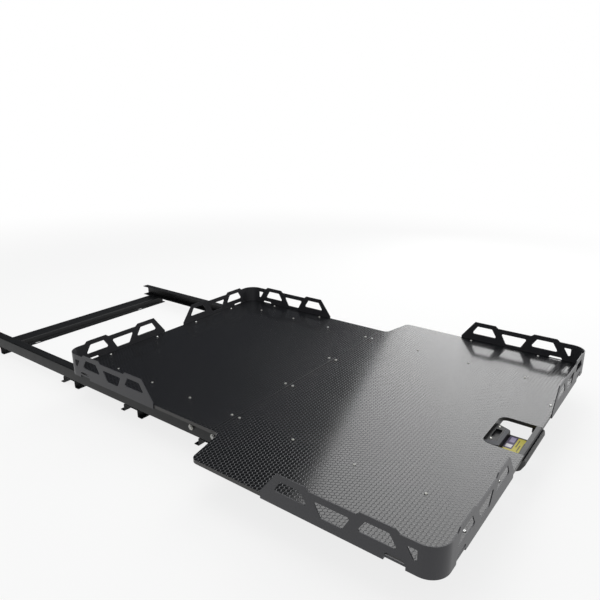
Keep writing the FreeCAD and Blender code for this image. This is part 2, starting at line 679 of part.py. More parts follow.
def draw_slot(sketch, x, y, length, half):
    """A slot along X with round ends."""
    reach = f"({length} / 2 - {half})"
    ends = [FreeCAD.Vector(size_of(f"{x} + {sign} * {reach}"), size_of(y), 0) for sign in (-1, 1)]
    across = FreeCAD.Vector(0, size_of(half), 0)
    axis = FreeCAD.Vector(0, 0, 1)
    quarter = math.pi / 2
    left = sketch.addGeometry(Part.ArcOfCircle(Part.Circle(ends[0], axis, across.y), quarter, 3 * quarter), False)
    right = sketch.addGeometry(Part.ArcOfCircle(Part.Circle(ends[1], axis, across.y), -quarter, quarter), False)
    lower = sketch.addGeometry(Part.LineSegment(ends[0] - across, ends[1] - across), False)
    upper = sketch.addGeometry(Part.LineSegment(ends[1] + across, ends[0] + across), False)
    for first, first_end, second, second_end in (
            (left, 2, lower, 1), (right, 1, lower, 2), (right, 2, upper, 1), (left, 1, upper, 2)):
        sketch.addConstraint(Sketcher.Constraint("Tangent", first, first_end, second, second_end))
    bind_point(sketch, left, 3, f"{x} - {reach}", y)
    bind_point(sketch, right, 3, f"{x} + {reach}", y)
    bind(sketch, "Radius", left, words=half)


def cross_member(label, along, slots_toward=0):
    """A folded top-hat section on the floor, with fixing slots in one foot."""
    hat = new_body(label, y=from_seam(along))
    half, edge = "(cross_width / 2)", "(cross_width / 2 + cross_foot)"
    inner, top = "(cross_width / 2 - cross_sheet)", "cross_height - cross_sheet"
    bend, tight = "cross_sheet * 1.6", "cross_sheet * 0.6"
    right = [(inner, "0", bend), (edge, "0"), (edge, "cross_sheet"), (half, "cross_sheet", tight),
             (half, "cross_height", bend)]
    left = [("-1 * " + c[0],) + c[1:] for c in reversed(right)]
    section = new_sketch(hat, "YZ_Plane")
    draw_loop(section, right + left + [(f"-{inner}", top, tight), (inner, top, tight)])
    pad(hat, section, "base_web * 2", middle=True)
    if slots_toward:
        slots = new_sketch(hat, "XY_Plane")
        for side in (-1, 1):
            draw_slot(slots, scaled(side, "foot_slot_out"),
                      scaled(slots_toward, "cross_width / 2 + cross_foot / 2"), "foot_slot_length", "foot_slot_half")
        cut(hat, slots)


cross_member("front_cross_member", "front_cross", slots_toward=1)
cross_member("middle_cross_member", "middle_cross")
cross_member("lock_cross_member", "strike_cross")
cross_member("rear_cross_member", "rear_cross", slots_toward=-1)


# Striker lugs and stops

striker = new_body("striker_form", keep=False)
profile = new_sketch(striker, "YZ_Plane")
draw_loop(profile, [
    ("-striker_thickness / 2", "0"), ("striker_thickness / 2", "0"), ("striker_thickness / 2", "striker_height - 2"),
    ("striker_thickness / 2 - 2", "striker_height"), ("-striker_thickness / 2 + striker_lean", "striker_height")])
pad(striker, profile, "striker_width", middle=True)
STRIKER_REACH = "(striker_gap + striker_thickness) / 2"
group("striker_lugs", striker, [
    ("pawl_offset", from_seam(f"{cross} + {toward} * {STRIKER_REACH}"), "cross_height", 0 if toward > 0 else 1)
    for cross in ("front_cross", "strike_cross") for toward in (-1, 1)])

stop = new_body("stop_form", keep=False)
profile = new_sketch(stop, "YZ_Plane")
draw_loop(profile, [
    ("-stop_length", "0"), ("0", "0"), ("0", "stop_height"), ("-stop_sheet", "stop_height"),
    ("-stop_sheet", "stop_height * 0.8"), ("-stop_length", "stop_sheet")])
pad(stop, profile, "stop_width", middle=True)
buffer = new_body("buffer_form", keep=False)
profile = new_sketch(buffer, "XY_Plane")
draw_loop(profile, [("0", "0"), ("buffer_radius", "0"), ("buffer_radius", "buffer_length - 2"),
                    ("buffer_radius - 2", "buffer_length"), ("0", "buffer_length")])
turn(buffer, profile, "V_Axis")
lug = new_body("lug_form", keep=False)
profile = new_sketch(lug, "XZ_Plane")
draw_loop(profile, box_corners("-lug_reach / 2", "lug_reach / 2", "0", "lug_height"))
pad(lug, profile, "lug_thickness", middle=True)
open_stop = from_seam("lug_front - stop_clearance - buffer_length")
shut_stop = from_seam("lug_front + lug_thickness + stroke + stop_clearance + buffer_length")
stop_places = [(scaled(side, "stop_out"), along, "cross_height", turns)
               for side in (-1, 1) for along, turns in ((open_stop, 0), (shut_stop, 1))]
group("stop_brackets", stop, stop_places)
group("stop_buffers", buffer, [(x, y, f"{z} + stop_height / 2", turns) for x, y, z, turns in stop_places])
group("stop_lugs", lug, [(scaled(side, "tray_web - lug_reach / 2"), from_seam("lug_front + lug_thickness / 2"),
                          "tray_rail_bottom", 0) for side in (-1, 1)])


# Rollers and their axle bolts

def roller(label, x, y, z):
    """A steel roller with a sunk ring in both faces."""
    wheel = new_body(label, x, y, z)
    section = new_sketch(wheel, "XY_Plane")
    half, bore = "(roller_width / 2)", "(axle_radius + axle_clearance)"
    hub, rim, sink = "(axle_radius + 4)", "(roller_radius - 4)", "(roller_width / 2 - 1.5)"
    right = [(half, bore), (half, hub), (sink, hub), (sink, rim), (half, rim), (half, "roller_radius - 1"),
             (f"{half} - 1", "roller_radius")]
    left = [("-1 * " + c[0],) + c[1:] for c in reversed(right[:-1])]
    draw_loop(section, right + [(f"-{half} + 1", "roller_radius")] + left)
    turn(wheel, section, "H_Axis")


for side, side_name in SIDES:
    for places, owner, out, up in ((BASE_ROLLERS, "base", "base_roller_out", "base_roller_height"),
                                   (TRAY_ROLLERS, "tray", "tray_roller_out", "tray_roller_height")):
        for along, order in zip(places, ("front", "back")):
            roller(f"{owner}_roller_{side_name}_{order}", scaled(side, out), along, up)

axle = new_body("axle_form", keep=False)
profile = new_sketch(axle, "XY_Plane")
draw_loop(profile, [
    ("-axle_head", "0"), ("-axle_head", "axle_head_radius - 1"), ("1 - axle_head", "axle_head_radius"),
    ("0", "axle_head_radius"), ("0", "axle_radius"), ("axle_grip + axle_nut + 2", "axle_radius"),
    ("axle_grip + axle_nut + 2", "0")])
turn(axle, profile, "H_Axis")
spacer = new_body("spacer_form", keep=False)
profile = new_sketch(spacer, "XY_Plane")
draw_loop(profile, box_corners("roller_width + side_play * 2", "axle_grip - channel_sheet",
                               "axle_radius", "axle_head_radius"))
turn(spacer, profile, "H_Axis")
axle_nut = new_body("axle_nut_form", keep=False)
profile = new_sketch(axle_nut, "YZ_Plane", "axle_grip")
draw_loop(profile, hex_corners("axle_nut_flat"))
draw_circle(profile, "0", "0", "axle_radius")
pad(axle_nut, profile, "axle_nut")
for owner, places, out, up, flip in (
        ("base", BASE_ROLLERS, "base_roller_out - roller_width / 2 - side_play", "base_roller_height", 0),
        ("tray", TRAY_ROLLERS, "tray_roller_out + roller_width / 2 + side_play", "tray_roller_height", 1)):
    spots = [(scaled(side, out), along, up, flip if side > 0 else 1 - flip)
             for side in (-1, 1) for along in places]
    group(f"{owner}_axle_bolts", axle, spots)
    group(f"{owner}_axle_spacers", spacer, spots)
    group(f"{owner}_axle_nuts", axle_nut, spots)


# Latch plate, housing and handle in the hand notch

PLATE_FRONT = "-front_panel_length + 5.5"
PLATE_BACK = "-front_row_first - front_row_pitch * 2 + bearer_width / 2"
latch_plate = new_body("latch_plate", y="seam_place", z="plate_top")
outline = new_sketch(latch_plate, "XY_Plane", "-latch_plate_sheet")
draw_loop(outline, box_corners("-latch_plate_width / 2", "latch_plate_width / 2", PLATE_FRONT, PLATE_BACK, "4"))
pad(latch_plate, outline, "latch_plate_sheet")
for side in (-1, 1):
    ear = new_sketch(latch_plate, "YZ_Plane",
                     "latch_plate_width / 2 - latch_plate_sheet" if side > 0 else "-latch_plate_width / 2")
    draw_loop(ear, box_corners("lever_pivot_along - 10", "lever_pivot_along + 10",
                               "lever_pivot_up - plate_top - 9", "0"))
    pad(latch_plate, ear, "latch_plate_sheet")
bore = new_sketch(latch_plate, "YZ_Plane")
draw_circle(bore, "lever_pivot_along", "lever_pivot_up - plate_top", "pin_radius")
cut(latch_plate, bore)

BEARER_FACE = "-front_row_first - front_row_pitch * 2 - bearer_width / 2"
housing = new_body("latch_housing", y=from_seam(BEARER_FACE), z="plate_top")


def housing_level(height, back_half, front_half, depth):
    """One level of the housing: a tapered outline at a height over the latch plate."""
    level = new_sketch(housing, "XY_Plane", height)
    draw_loop(level, [(f"-{back_half}", "0"), (f"-{front_half}", f"-{depth}"), (front_half, f"-{depth}"),
                      (back_half, "0")])
    return level


levels = [housing_level("0", "66", "55", "46"), housing_level("17", "65", "53", "44"),
          housing_level("latch_plate_drop - deck_thickness", "58", "45", "36")]
loft = housing.newObject("PartDesign::AdditiveLoft", "latch_housing_loft")
loft.Profile = levels[0]
loft.Sections = levels[1:]
loft.Ruled = True
document.recompute()
pocket = new_sketch(housing, "XY_Plane", "latch_plate_drop - deck_thickness")
draw_loop(pocket, box_corners("-26", "26", "-30", "-10", "4"))
cut(housing, pocket, "9")
housing_holes = new_sketch(housing, "XY_Plane")
for side in (-1, 1):
    draw_circle(housing_holes, scaled(side, "housing_screw_out"), "-housing_screw_back", "screw_shank")
cut(housing, housing_holes)
group("housing_screws", screw, [
    (scaled(side, "housing_screw_out"), from_seam(f"{BEARER_FACE} - housing_screw_back"), "deck_bottom", 0)
    for side in (-1, 1)])

GRIP_FRONT = "-front_panel_length"
GRIP_BACK = "-front_panel_length + grip_width"
GRIP_HALF = "(notch_half - grip_side_gap)"
handle = new_body("pull_handle", y="seam_place", z="plate_top")
section = new_sketch(handle, "YZ_Plane")
draw_loop(section, [
    (f"{GRIP_FRONT} + 6", "0"), (f"{GRIP_BACK} - 5", "0"), (f"{GRIP_BACK} - 5", "latch_plate_drop - 12", "3"),
    (GRIP_BACK, "latch_plate_drop - 8", "3"), (GRIP_BACK, "latch_plate_drop", "2"),
    (GRIP_FRONT, "latch_plate_drop", "2"), (GRIP_FRONT, "7")])
pad(handle, section, f"{GRIP_HALF} * 2", middle=True)
for side in (-1, 1):
    lug_sketch = new_sketch(handle, "XY_Plane", "latch_plate_drop - deck_thickness - 12")
    draw_loop(lug_sketch, box_corners(scaled(side, f"{GRIP_HALF} - 4"), scaled(side, f"{GRIP_HALF} + grip_lug"),
                                      "-front_panel_length + 6", "-front_panel_length + 28"))
    pad(handle, lug_sketch, "12")


# Release lever, rod and lock pawl

def eye(body, y, z, radius):
    """Bore a hole along X through a body."""
    bore_sketch = new_sketch(body, "YZ_Plane")
    draw_circle(bore_sketch, y, z, radius)
    cut(body, bore_sketch)


lever = new_body("release_lever", y=from_seam("lever_pivot_along"), z="lever_pivot_up")
LIP_FRONT = "-lever_pivot_back - lever_gap - lever_wall - lever_bulge"
LIP_INNER = "-lever_pivot_back - lever_gap"
LIP_BACK = "-lever_pivot_back + 19"
LIP_TOP = "lever_pivot_drop - deck_thickness - 0.5"
LIP_FOOT = f"{LIP_TOP} - lever_height"
LIP_WAIST = f"{LIP_TOP} - 21"
block = new_sketch(lever, "XY_Plane", LIP_FOOT)
draw_loop(block, [
    ("lever_half", LIP_BACK), ("-lever_half", LIP_BACK), ("-lever_half", LIP_FRONT, "lever_end_round"),
    ("lever_half", LIP_FRONT, "lever_end_round")])
pad(lever, block, "lever_height")
upper_hollow = new_sketch(lever, "XY_Plane", LIP_WAIST)
INNER = "(lever_half - lever_wall)"
draw_loop(upper_hollow, [
    (INNER, f"{LIP_BACK} + 5"), (f"-{INNER}", f"{LIP_BACK} + 5"),
    (f"-{INNER}", LIP_INNER, "lever_wall * 2"),
    (INNER, LIP_INNER, "lever_wall * 2")])
cut(lever, upper_hollow, "lever_height", upward=True)
lower_hollow = new_sketch(lever, "YZ_Plane")
draw_loop(lower_hollow, [
    (f"{LIP_INNER} + 2", f"{LIP_WAIST} + 2"), (f"{LIP_INNER} + 2", LIP_WAIST, "3"),
    (f"{LIP_INNER} + 7", f"{LIP_WAIST} - 7", "4"), (f"{LIP_INNER} + 16", f"{LIP_FOOT} + 5", "4"),
    (f"{LIP_BACK} + 5", f"{LIP_FOOT} + 5"),
    (f"{LIP_BACK} + 5", f"{LIP_WAIST} + 2")])
trough = lever.newObject("PartDesign::Pocket", "release_lever_trough")
trough.Profile = lower_hollow
trough.SideType = "Symmetric"
trough.setExpression("Length", formula("(lever_half - lever_wall * 3) * 2"))
document.recompute()
outside = new_sketch(lever, "YZ_Plane")
draw_loop(outside, [
    (f"{LIP_FRONT} - 4", f"{LIP_TOP} + 2"), (f"{LIP_FRONT} + lever_bulge", f"{LIP_TOP} + 2"),
    (f"{LIP_FRONT} + lever_bulge", LIP_TOP, "1"), (LIP_FRONT, f"{LIP_TOP} - 11.5", "9"),
    (f"{LIP_FRONT} + 11", f"{LIP_TOP} - 29.5", "12"), (f"{LIP_BACK} - 1", LIP_FOOT),
    (f"{LIP_BACK} - 1", f"{LIP_FOOT} - 4"), (f"{LIP_FRONT} - 4", f"{LIP_FOOT} - 4")])
cut(lever, outside)
HUB_HALF = "(latch_plate_width / 2 - latch_plate_sheet - 1)"
tongue = new_sketch(lever, "YZ_Plane")
draw_loop(tongue, box_corners(f"{LIP_BACK} - 3", "0", f"{LIP_FOOT} + 1", f"{LIP_FOOT} + 6"))
pad(lever, tongue, f"{HUB_HALF} * 2", middle=True)
hub = new_sketch(lever, "YZ_Plane")
draw_circle(hub, "0", "0", "pin_radius + 2.5")
pad(lever, hub, f"{HUB_HALF} * 2", middle=True)
arm = new_sketch(lever, "YZ_Plane")
draw_loop(arm, box_corners("-6", "6", "-lever_arm - 6", "0", "5"))
pad(lever, arm, "pawl_thickness", middle=True)
eye(lever, "0", "0", "pin_radius + pin_clearance")
eye(lever, "0", "-lever_arm", "rod_pin_radius + rod_pin_slack")


def pin(label, x, y, z, radius, half):
    """A plain pin along X, centred on its place."""
    rod = document.addObject("Part::Cylinder", label)
    rod.Label = label
    rod.setExpression("Radius", formula(radius))
    rod.setExpression("Height", formula(f"({half}) * 2"))
    rod.Placement = FreeCAD.Placement(FreeCAD.Vector(), FreeCAD.Rotation(FreeCAD.Vector(0, 1, 0), 90))
    place(rod, f"({x}) - ({half})", y, z)
    pieces.append(rod)
    return rod


pin("lever_pin", "0", from_seam("lever_pivot_along"), "lever_pivot_up", "pin_radius", "latch_plate_width / 2 + 2")

EAR_HALF = "(pawl_thickness / 2 + 0.5)"
bracket = new_body("pawl_bracket", y=from_seam("pawl_pivot_along"), z="tray_rail_top")
top_plate = new_sketch(bracket, "XY_Plane", "-4")
draw_loop(top_plate, box_corners(f"-{EAR_HALF} - 8", f"pawl_offset + {EAR_HALF} + 8", "-14", "44"))
pad(bracket, top_plate, "4")
for ear_place in (f"-{EAR_HALF} - 4", f"pawl_offset + {EAR_HALF}"):
    ear = new_sketch(bracket, "YZ_Plane", ear_place)
    draw_loop(ear, [("-12", "0"), ("-8", "pawl_pivot_up - tray_rail_top - 9", "5"),
                    ("8", "pawl_pivot_up - tray_rail_top - 9", "5"), ("12", "0")])
    pad(bracket, ear, "4")
eye(bracket, "0", "pawl_pivot_up - tray_rail_top", "pin_radius")
pin("pawl_pin", "pawl_offset / 2", from_seam("pawl_pivot_along"), "pawl_pivot_up", "pin_radius",
    f"pawl_offset / 2 + {EAR_HALF} + 6")

pawl = new_body("lock_pawl", y=from_seam("pawl_pivot_along"), z="pawl_pivot_up")
TIP_FOOT = "cross_height + striker_height + pawl_lift - (pawl_pivot_up)"
hub = new_sketch(pawl, "YZ_Plane", "-pawl_thickness / 2")
draw_circle(hub, "0", "0", "pawl_hub")
pad(pawl, hub, "pawl_offset + pawl_thickness")
outline = new_sketch(pawl, "YZ_Plane")
draw_loop(outline, [("7", "0"), ("-7", "0"), ("-7", "-pawl_arm - 7", "6"), ("7", "-pawl_arm - 7", "6")])
pad(pawl, outline, "pawl_thickness", middle=True)
outline = new_sketch(pawl, "YZ_Plane", "pawl_offset")
draw_loop(outline, [
    ("0", "pawl_hub"), ("-pawl_reach - pawl_tip / 2", "2", "4"), ("-pawl_reach - pawl_tip / 2", TIP_FOOT, "1.5"),
    ("-pawl_reach + pawl_tip / 2", TIP_FOOT, "1.5"), ("-pawl_reach + pawl_tip / 2", "-13", "6"),
    ("0", "-pawl_hub")])
pad(pawl, outline, "pawl_thickness", middle=True)
eye(pawl, "0", "0", "pin_radius + pin_clearance")
eye(pawl, "0", "-pawl_arm", "rod_pin_radius + rod_pin_slack")

spring_turn = new_body("spring_form", keep=False)
profile = new_sketch(spring_turn, "XY_Plane")
draw_circle(profile, "0", "pawl_hub + spring_wire + 0.7", "spring_wire")
turn(spring_turn, profile, "H_Axis")
group("lock_spring", spring_turn, [
    (f"pawl_thickness / 2 + 2 + spring_wire * 2.1 * {turn_number}", from_seam("pawl_pivot_along"), "pawl_pivot_up", 0)
    for turn_number in range(int(size_of("spring_turns")))])

FORK_INNER = "(pawl_thickness / 2 + fork_slack)"
FORK_DEPTH = 12
rod = new_body("pull_rod", y=from_seam("lever_pivot_along"), z="rod_height")
ROD_SPAN = "(pawl_pivot_along - lever_pivot_along)"
bar = new_sketch(rod, "XZ_Plane", "-8")
draw_circle(bar, "0", "0", "rod_radius")
rod_pad = pad(rod, bar, f"{ROD_SPAN} - 16")
rod_pad.Reversed = True
document.recompute()
for near, far in (("-7", "20"), (f"{ROD_SPAN} - 20", f"{ROD_SPAN} + 7")):
    fork = new_sketch(rod, "YZ_Plane")
    draw_loop(fork, box_corners(near, far, "-6.5", "6.5", "5"))
    pad(rod, fork, "fork_half * 2", middle=True)
gaps = new_sketch(rod, "XY_Plane")
draw_loop(gaps, box_corners(f"-{FORK_INNER}", FORK_INNER, "-10", f"{FORK_DEPTH}"))
draw_loop(gaps, box_corners(f"-{FORK_INNER}", FORK_INNER, f"{ROD_SPAN} - {FORK_DEPTH}", f"{ROD_SPAN} + 10"))
cut(rod, gaps)
holes = new_sketch(rod, "YZ_Plane")
draw_circle(holes, "0", "0", "rod_pin_radius")
draw_circle(holes, ROD_SPAN, "0", "rod_pin_radius")
cut(rod, holes)
for label, along in (("rod_pin_front", "lever_pivot_along"), ("rod_pin_back", "pawl_pivot_along")):
    pin(label, "0", from_seam(along), "rod_height", "rod_pin_radius", "fork_half + 1.5")

guide = new_body("guide_form", keep=False)
profile = new_sketch(guide, "XZ_Plane")
draw_loop(profile, [("-14", "0"), ("14", "0"), ("11", "rod_height - tray_rail_top - 10", "7"),
                    ("-11", "rod_height - tray_rail_top - 10", "7")])
draw_circle(profile, "0", "rod_height - tray_rail_top", "rod_radius + guide_clearance")
pad(guide, profile, "4", middle=True)
foot_plate = new_sketch(guide, "XY_Plane", "-4")
draw_loop(foot_plate, box_corners("-14", "14", "-2", "16"))
pad(guide, foot_plate, "4")
group("rod_guides", guide, [("0", from_seam(row), "tray_rail_top", 0) for row in (FRONT_ROWS[1], "0")])

label_plate = new_body("latch_label", y="seam_place", z="plate_top")
outline = new_sketch(label_plate, "XY_Plane")
draw_loop(outline, box_corners("-latch_plate_width / 2 + 4", "latch_plate_width / 2 - 4",
                               f"{GRIP_BACK} + 1", f"{BEARER_FACE} - 48", "3"))
pad(label_plate, outline, "0.5")


# Check every object, then write each piece

document.recompute()
for thing in document.Objects:
    assert not {"Invalid", "Error"} & set(thing.State), f"{thing.Label}: {thing.State}"
for piece in pieces:
    assert not piece.Shape.isNull() and piece.Shape.isValid(), piece.Label + " has no valid shape"
os.makedirs("parts", exist_ok=True)
for piece in pieces:
    piece.Shape.exportStep(f"parts/{piece.Label}.step")
    print(f"{piece.Label}: {len(piece.Shape.Solids)} solid(s), {piece.Shape.Volume / 1000:.1f} cm3")
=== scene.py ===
"""Looks of a truck bed slide: a film-faced plywood tray with folded corner rails on a rolling frame.

The tray is shown pulled out to its stop. Every length below is in metres and every place is in the
part's own frame: X across the truck, +Y to the cab, +Z up, the floor at zero.
"""
import logging
import math
from dataclasses import dataclass
from enum import Enum
from typing import Any, Iterable, Sequence

import bmesh
import bpy
from mathutils import Matrix, Vector


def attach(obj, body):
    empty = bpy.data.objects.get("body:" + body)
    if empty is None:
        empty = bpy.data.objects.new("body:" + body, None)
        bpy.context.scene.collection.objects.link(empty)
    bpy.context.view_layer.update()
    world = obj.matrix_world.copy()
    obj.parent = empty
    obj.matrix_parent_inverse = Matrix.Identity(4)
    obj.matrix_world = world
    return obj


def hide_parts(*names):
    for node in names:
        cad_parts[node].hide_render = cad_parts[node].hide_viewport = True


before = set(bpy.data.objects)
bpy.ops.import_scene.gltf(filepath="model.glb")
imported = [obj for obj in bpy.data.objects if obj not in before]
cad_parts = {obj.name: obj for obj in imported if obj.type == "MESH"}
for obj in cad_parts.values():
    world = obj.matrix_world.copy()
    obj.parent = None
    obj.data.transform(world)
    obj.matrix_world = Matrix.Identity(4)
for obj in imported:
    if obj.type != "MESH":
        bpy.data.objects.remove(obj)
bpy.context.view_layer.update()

MM = 0.001
GRAIN_FALLOFF = 0.55            # how much the finer layers of a grain weigh
JOIN_WITHIN = 2e-6              # points nearer than this are one point
FLAT_WITHIN_DEGREES = 0.5       # faces that turn less than this are one flat face
SHARP_FROM_DEGREES = 32.0       # edges that turn more than this are shaded sharp
EASE_FROM_DEGREES = 40.0        # edges that turn more than this are eased
log = logging.getLogger("bed_slide")

Point = tuple[float, float, float]
Rgba = tuple[float, float, float, float]
WHITE: Rgba = (1.0, 1.0, 1.0, 1.0)


class Slot(Enum):
    """The record's material slots."""

    DECK_FILM = "deck_film"
    POWDER_COAT = "black_powder_coat"
    ZINC_PLATE = "zinc_plate"
    BARE_STEEL = "bare_steel"
    NYLON = "black_nylon"
    GALVANISED = "galvanised_steel"


# Colour and node helpers

def linear(code: str) -> Rgba:
    """Turn an sRGB hex value into the linear colour that a shader wants.

    Args:
        code: The colour as "#rrggbb".

    Returns:
        Red, green, blue and an alpha of one, all linear.
    """
    parts = [int(code[i:i + 2], 16) / 255 for i in (1, 3, 5)]
    red, green, blue = (c / 12.92 if c <= 0.04045 else ((c + 0.055) / 1.055) ** 2.4 for c in parts)
    return (red, green, blue, 1.0)


def add_node(tree: bpy.types.NodeTree, kind: str, settings: dict[str, Any] | None = None,
             links: dict[Any, bpy.types.NodeSocket] | None = None, **values: Any) -> bpy.types.Node:
    """Add one node with its settings, its socket values and its links.

    Args:
        tree: The tree that the node joins.
        kind: The node's type name.
        settings: Properties of the node itself.
        links: For each input, by name or number, the output that feeds it.
        **values: Socket values by name, with underscores for spaces, or "in0" for a number.

    Returns:
        The new node.
    """
    node = tree.nodes.new(kind)
    for key, value in (settings or {}).items():
        setattr(node, key, value)
    for key, value in values.items():
        socket = node.inputs[int(key[2:])] if key[:2] == "in" and key[2:].isdigit() \
            else node.inputs[key.replace("_", " ")]
        socket.default_value = value
    for key, source in (links or {}).items():
        tree.links.new(source, node.inputs[key])
    return node


# Finishes

@dataclass(frozen=True)
class Finish:
    """A finish that becomes one procedural material.

    Subclasses draw the pattern. Sizes of patterns are in millimetres.
    """

    name: str
    colour: str
    roughness: float
    metallic: float = 0.0
    swing: tuple[float, float] = (-0.08, 0.1)

    def material(self) -> bpy.types.Material:
        """Make the material once.

        Returns:
            The material, the same one at each call.
        """
        made = bpy.data.materials.get(self.name)
        if made is not None:
            return made
        made = bpy.data.materials.new(self.name)
        made.use_nodes = True
        tree = made.node_tree
        tree.nodes.clear()
        shader = add_node(tree, "ShaderNodeBsdfPrincipled", Base_Color=linear(self.colour),
                          Roughness=self.roughness, Metallic=self.metallic)
        add_node(tree, "ShaderNodeOutputMaterial", links={"Surface": shader.outputs["BSDF"]})
        self.draw(tree, shader)
        return made

    def draw(self, tree: bpy.types.NodeTree, shader: bpy.types.Node) -> None:
        """Draw the pattern on the plain shader."""

    def place(self, tree: bpy.types.NodeTree) -> bpy.types.NodeSocket:
        """The place on the piece, in metres."""
        return add_node(tree, "ShaderNodeTexCoord").outputs["Object"]

    def grain(self, tree: bpy.types.NodeTree, size_mm: float, detail: float = 2.0) -> bpy.types.NodeSocket:
        """Noise with grains of a given size.

        Args:
            tree: The material's tree.
            size_mm: How large a grain is.
            detail: How many finer layers it has.

        Returns:
            The noise, from zero to one.
        """
        noise = add_node(tree, "ShaderNodeTexNoise", links={"Vector": self.place(tree)},
                         Scale=1.0 / (size_mm * MM), Detail=detail, Roughness=GRAIN_FALLOFF)
        return noise.outputs["Fac"]

    def spread(self, tree: bpy.types.NodeTree, source: bpy.types.NodeSocket, low: float,
               high: float) -> bpy.types.NodeSocket:
        """Stretch a value of zero to one over a range.

        Args:
            tree: The material's tree.
            source: The value.
            low: The result at zero.
            high: The result at one.

        Returns:
            The stretched value.
        """
        node = add_node(tree, "ShaderNodeMapRange", links={"Value": source}, To_Min=low, To_Max=high)
        return node.outputs["Result"]

    def blend(self, tree: bpy.types.NodeTree, factor: bpy.types.NodeSocket, first: Any,
              second: Any) -> bpy.types.NodeSocket:
        """Mix two colours, each a hex value or an output.

        Args:
            tree: The material's tree.
            factor: Zero for the first, one for the second.
            first: The first colour.
            second: The second colour.

        Returns:
            The mixed colour.
        """
        links = {0: factor}
        values = {}
        for number, colour in ((6, first), (7, second)):
            if isinstance(colour, str):
                values[f"in{number}"] = linear(colour)
            else:
                links[number] = colour
        node = add_node(tree, "ShaderNodeMix", {"data_type": "RGBA"}, links, **values)
        return node.outputs[2]

    def math(self, tree: bpy.types.NodeTree, operation: str, first: Any,
             second: Any = 0.0) -> bpy.types.NodeSocket:
        """One sum, each term a number or an output.

        Args:
            tree: The material's tree.
            operation: The sum's name.
            first: The first term.
            second: The second term.

        Returns:
            The result.
        """
        links = {}
        values = {}
        for number, term in ((0, first), (1, second)):
            if isinstance(term, (int, float)):
                values[f"in{number}"] = float(term)
            else:
                links[number] = term
        return add_node(tree, "ShaderNodeMath", {"operation": operation}, links, **values).outputs[0]

    def vary_gloss(self, tree: bpy.types.NodeTree, shader: bpy.types.Node,
                   source: bpy.types.NodeSocket) -> bpy.types.NodeSocket:
        """Let the roughness swing about its own value.

        Args:
            tree: The material's tree.
            shader: The shader that it feeds.
            source: The pattern, from zero to one.

        Returns:
            The roughness.
        """
        gloss = self.spread(tree, source, self.roughness + self.swing[0], self.roughness + self.swing[1])
        tree.links.new(gloss, shader.inputs["Roughness"])
        return gloss

    def raise_surface(self, tree: bpy.types.NodeTree, shader: bpy.types.Node,
                      height: bpy.types.NodeSocket, depth_mm: float, strength: float = 1.0) -> None:
        """Give the surface a relief.

        Args:
            tree: The material's tree.
            shader: The shader that is bumped.
            height: The relief, from zero to one.
            depth_mm: How high one is.
            strength: How much of it shows.
        """
        bump = add_node(tree, "ShaderNodeBump", links={"Height": height}, Distance=depth_mm * MM,
                        Strength=strength)
        tree.links.new(bump.outputs["Normal"], shader.inputs["Normal"])


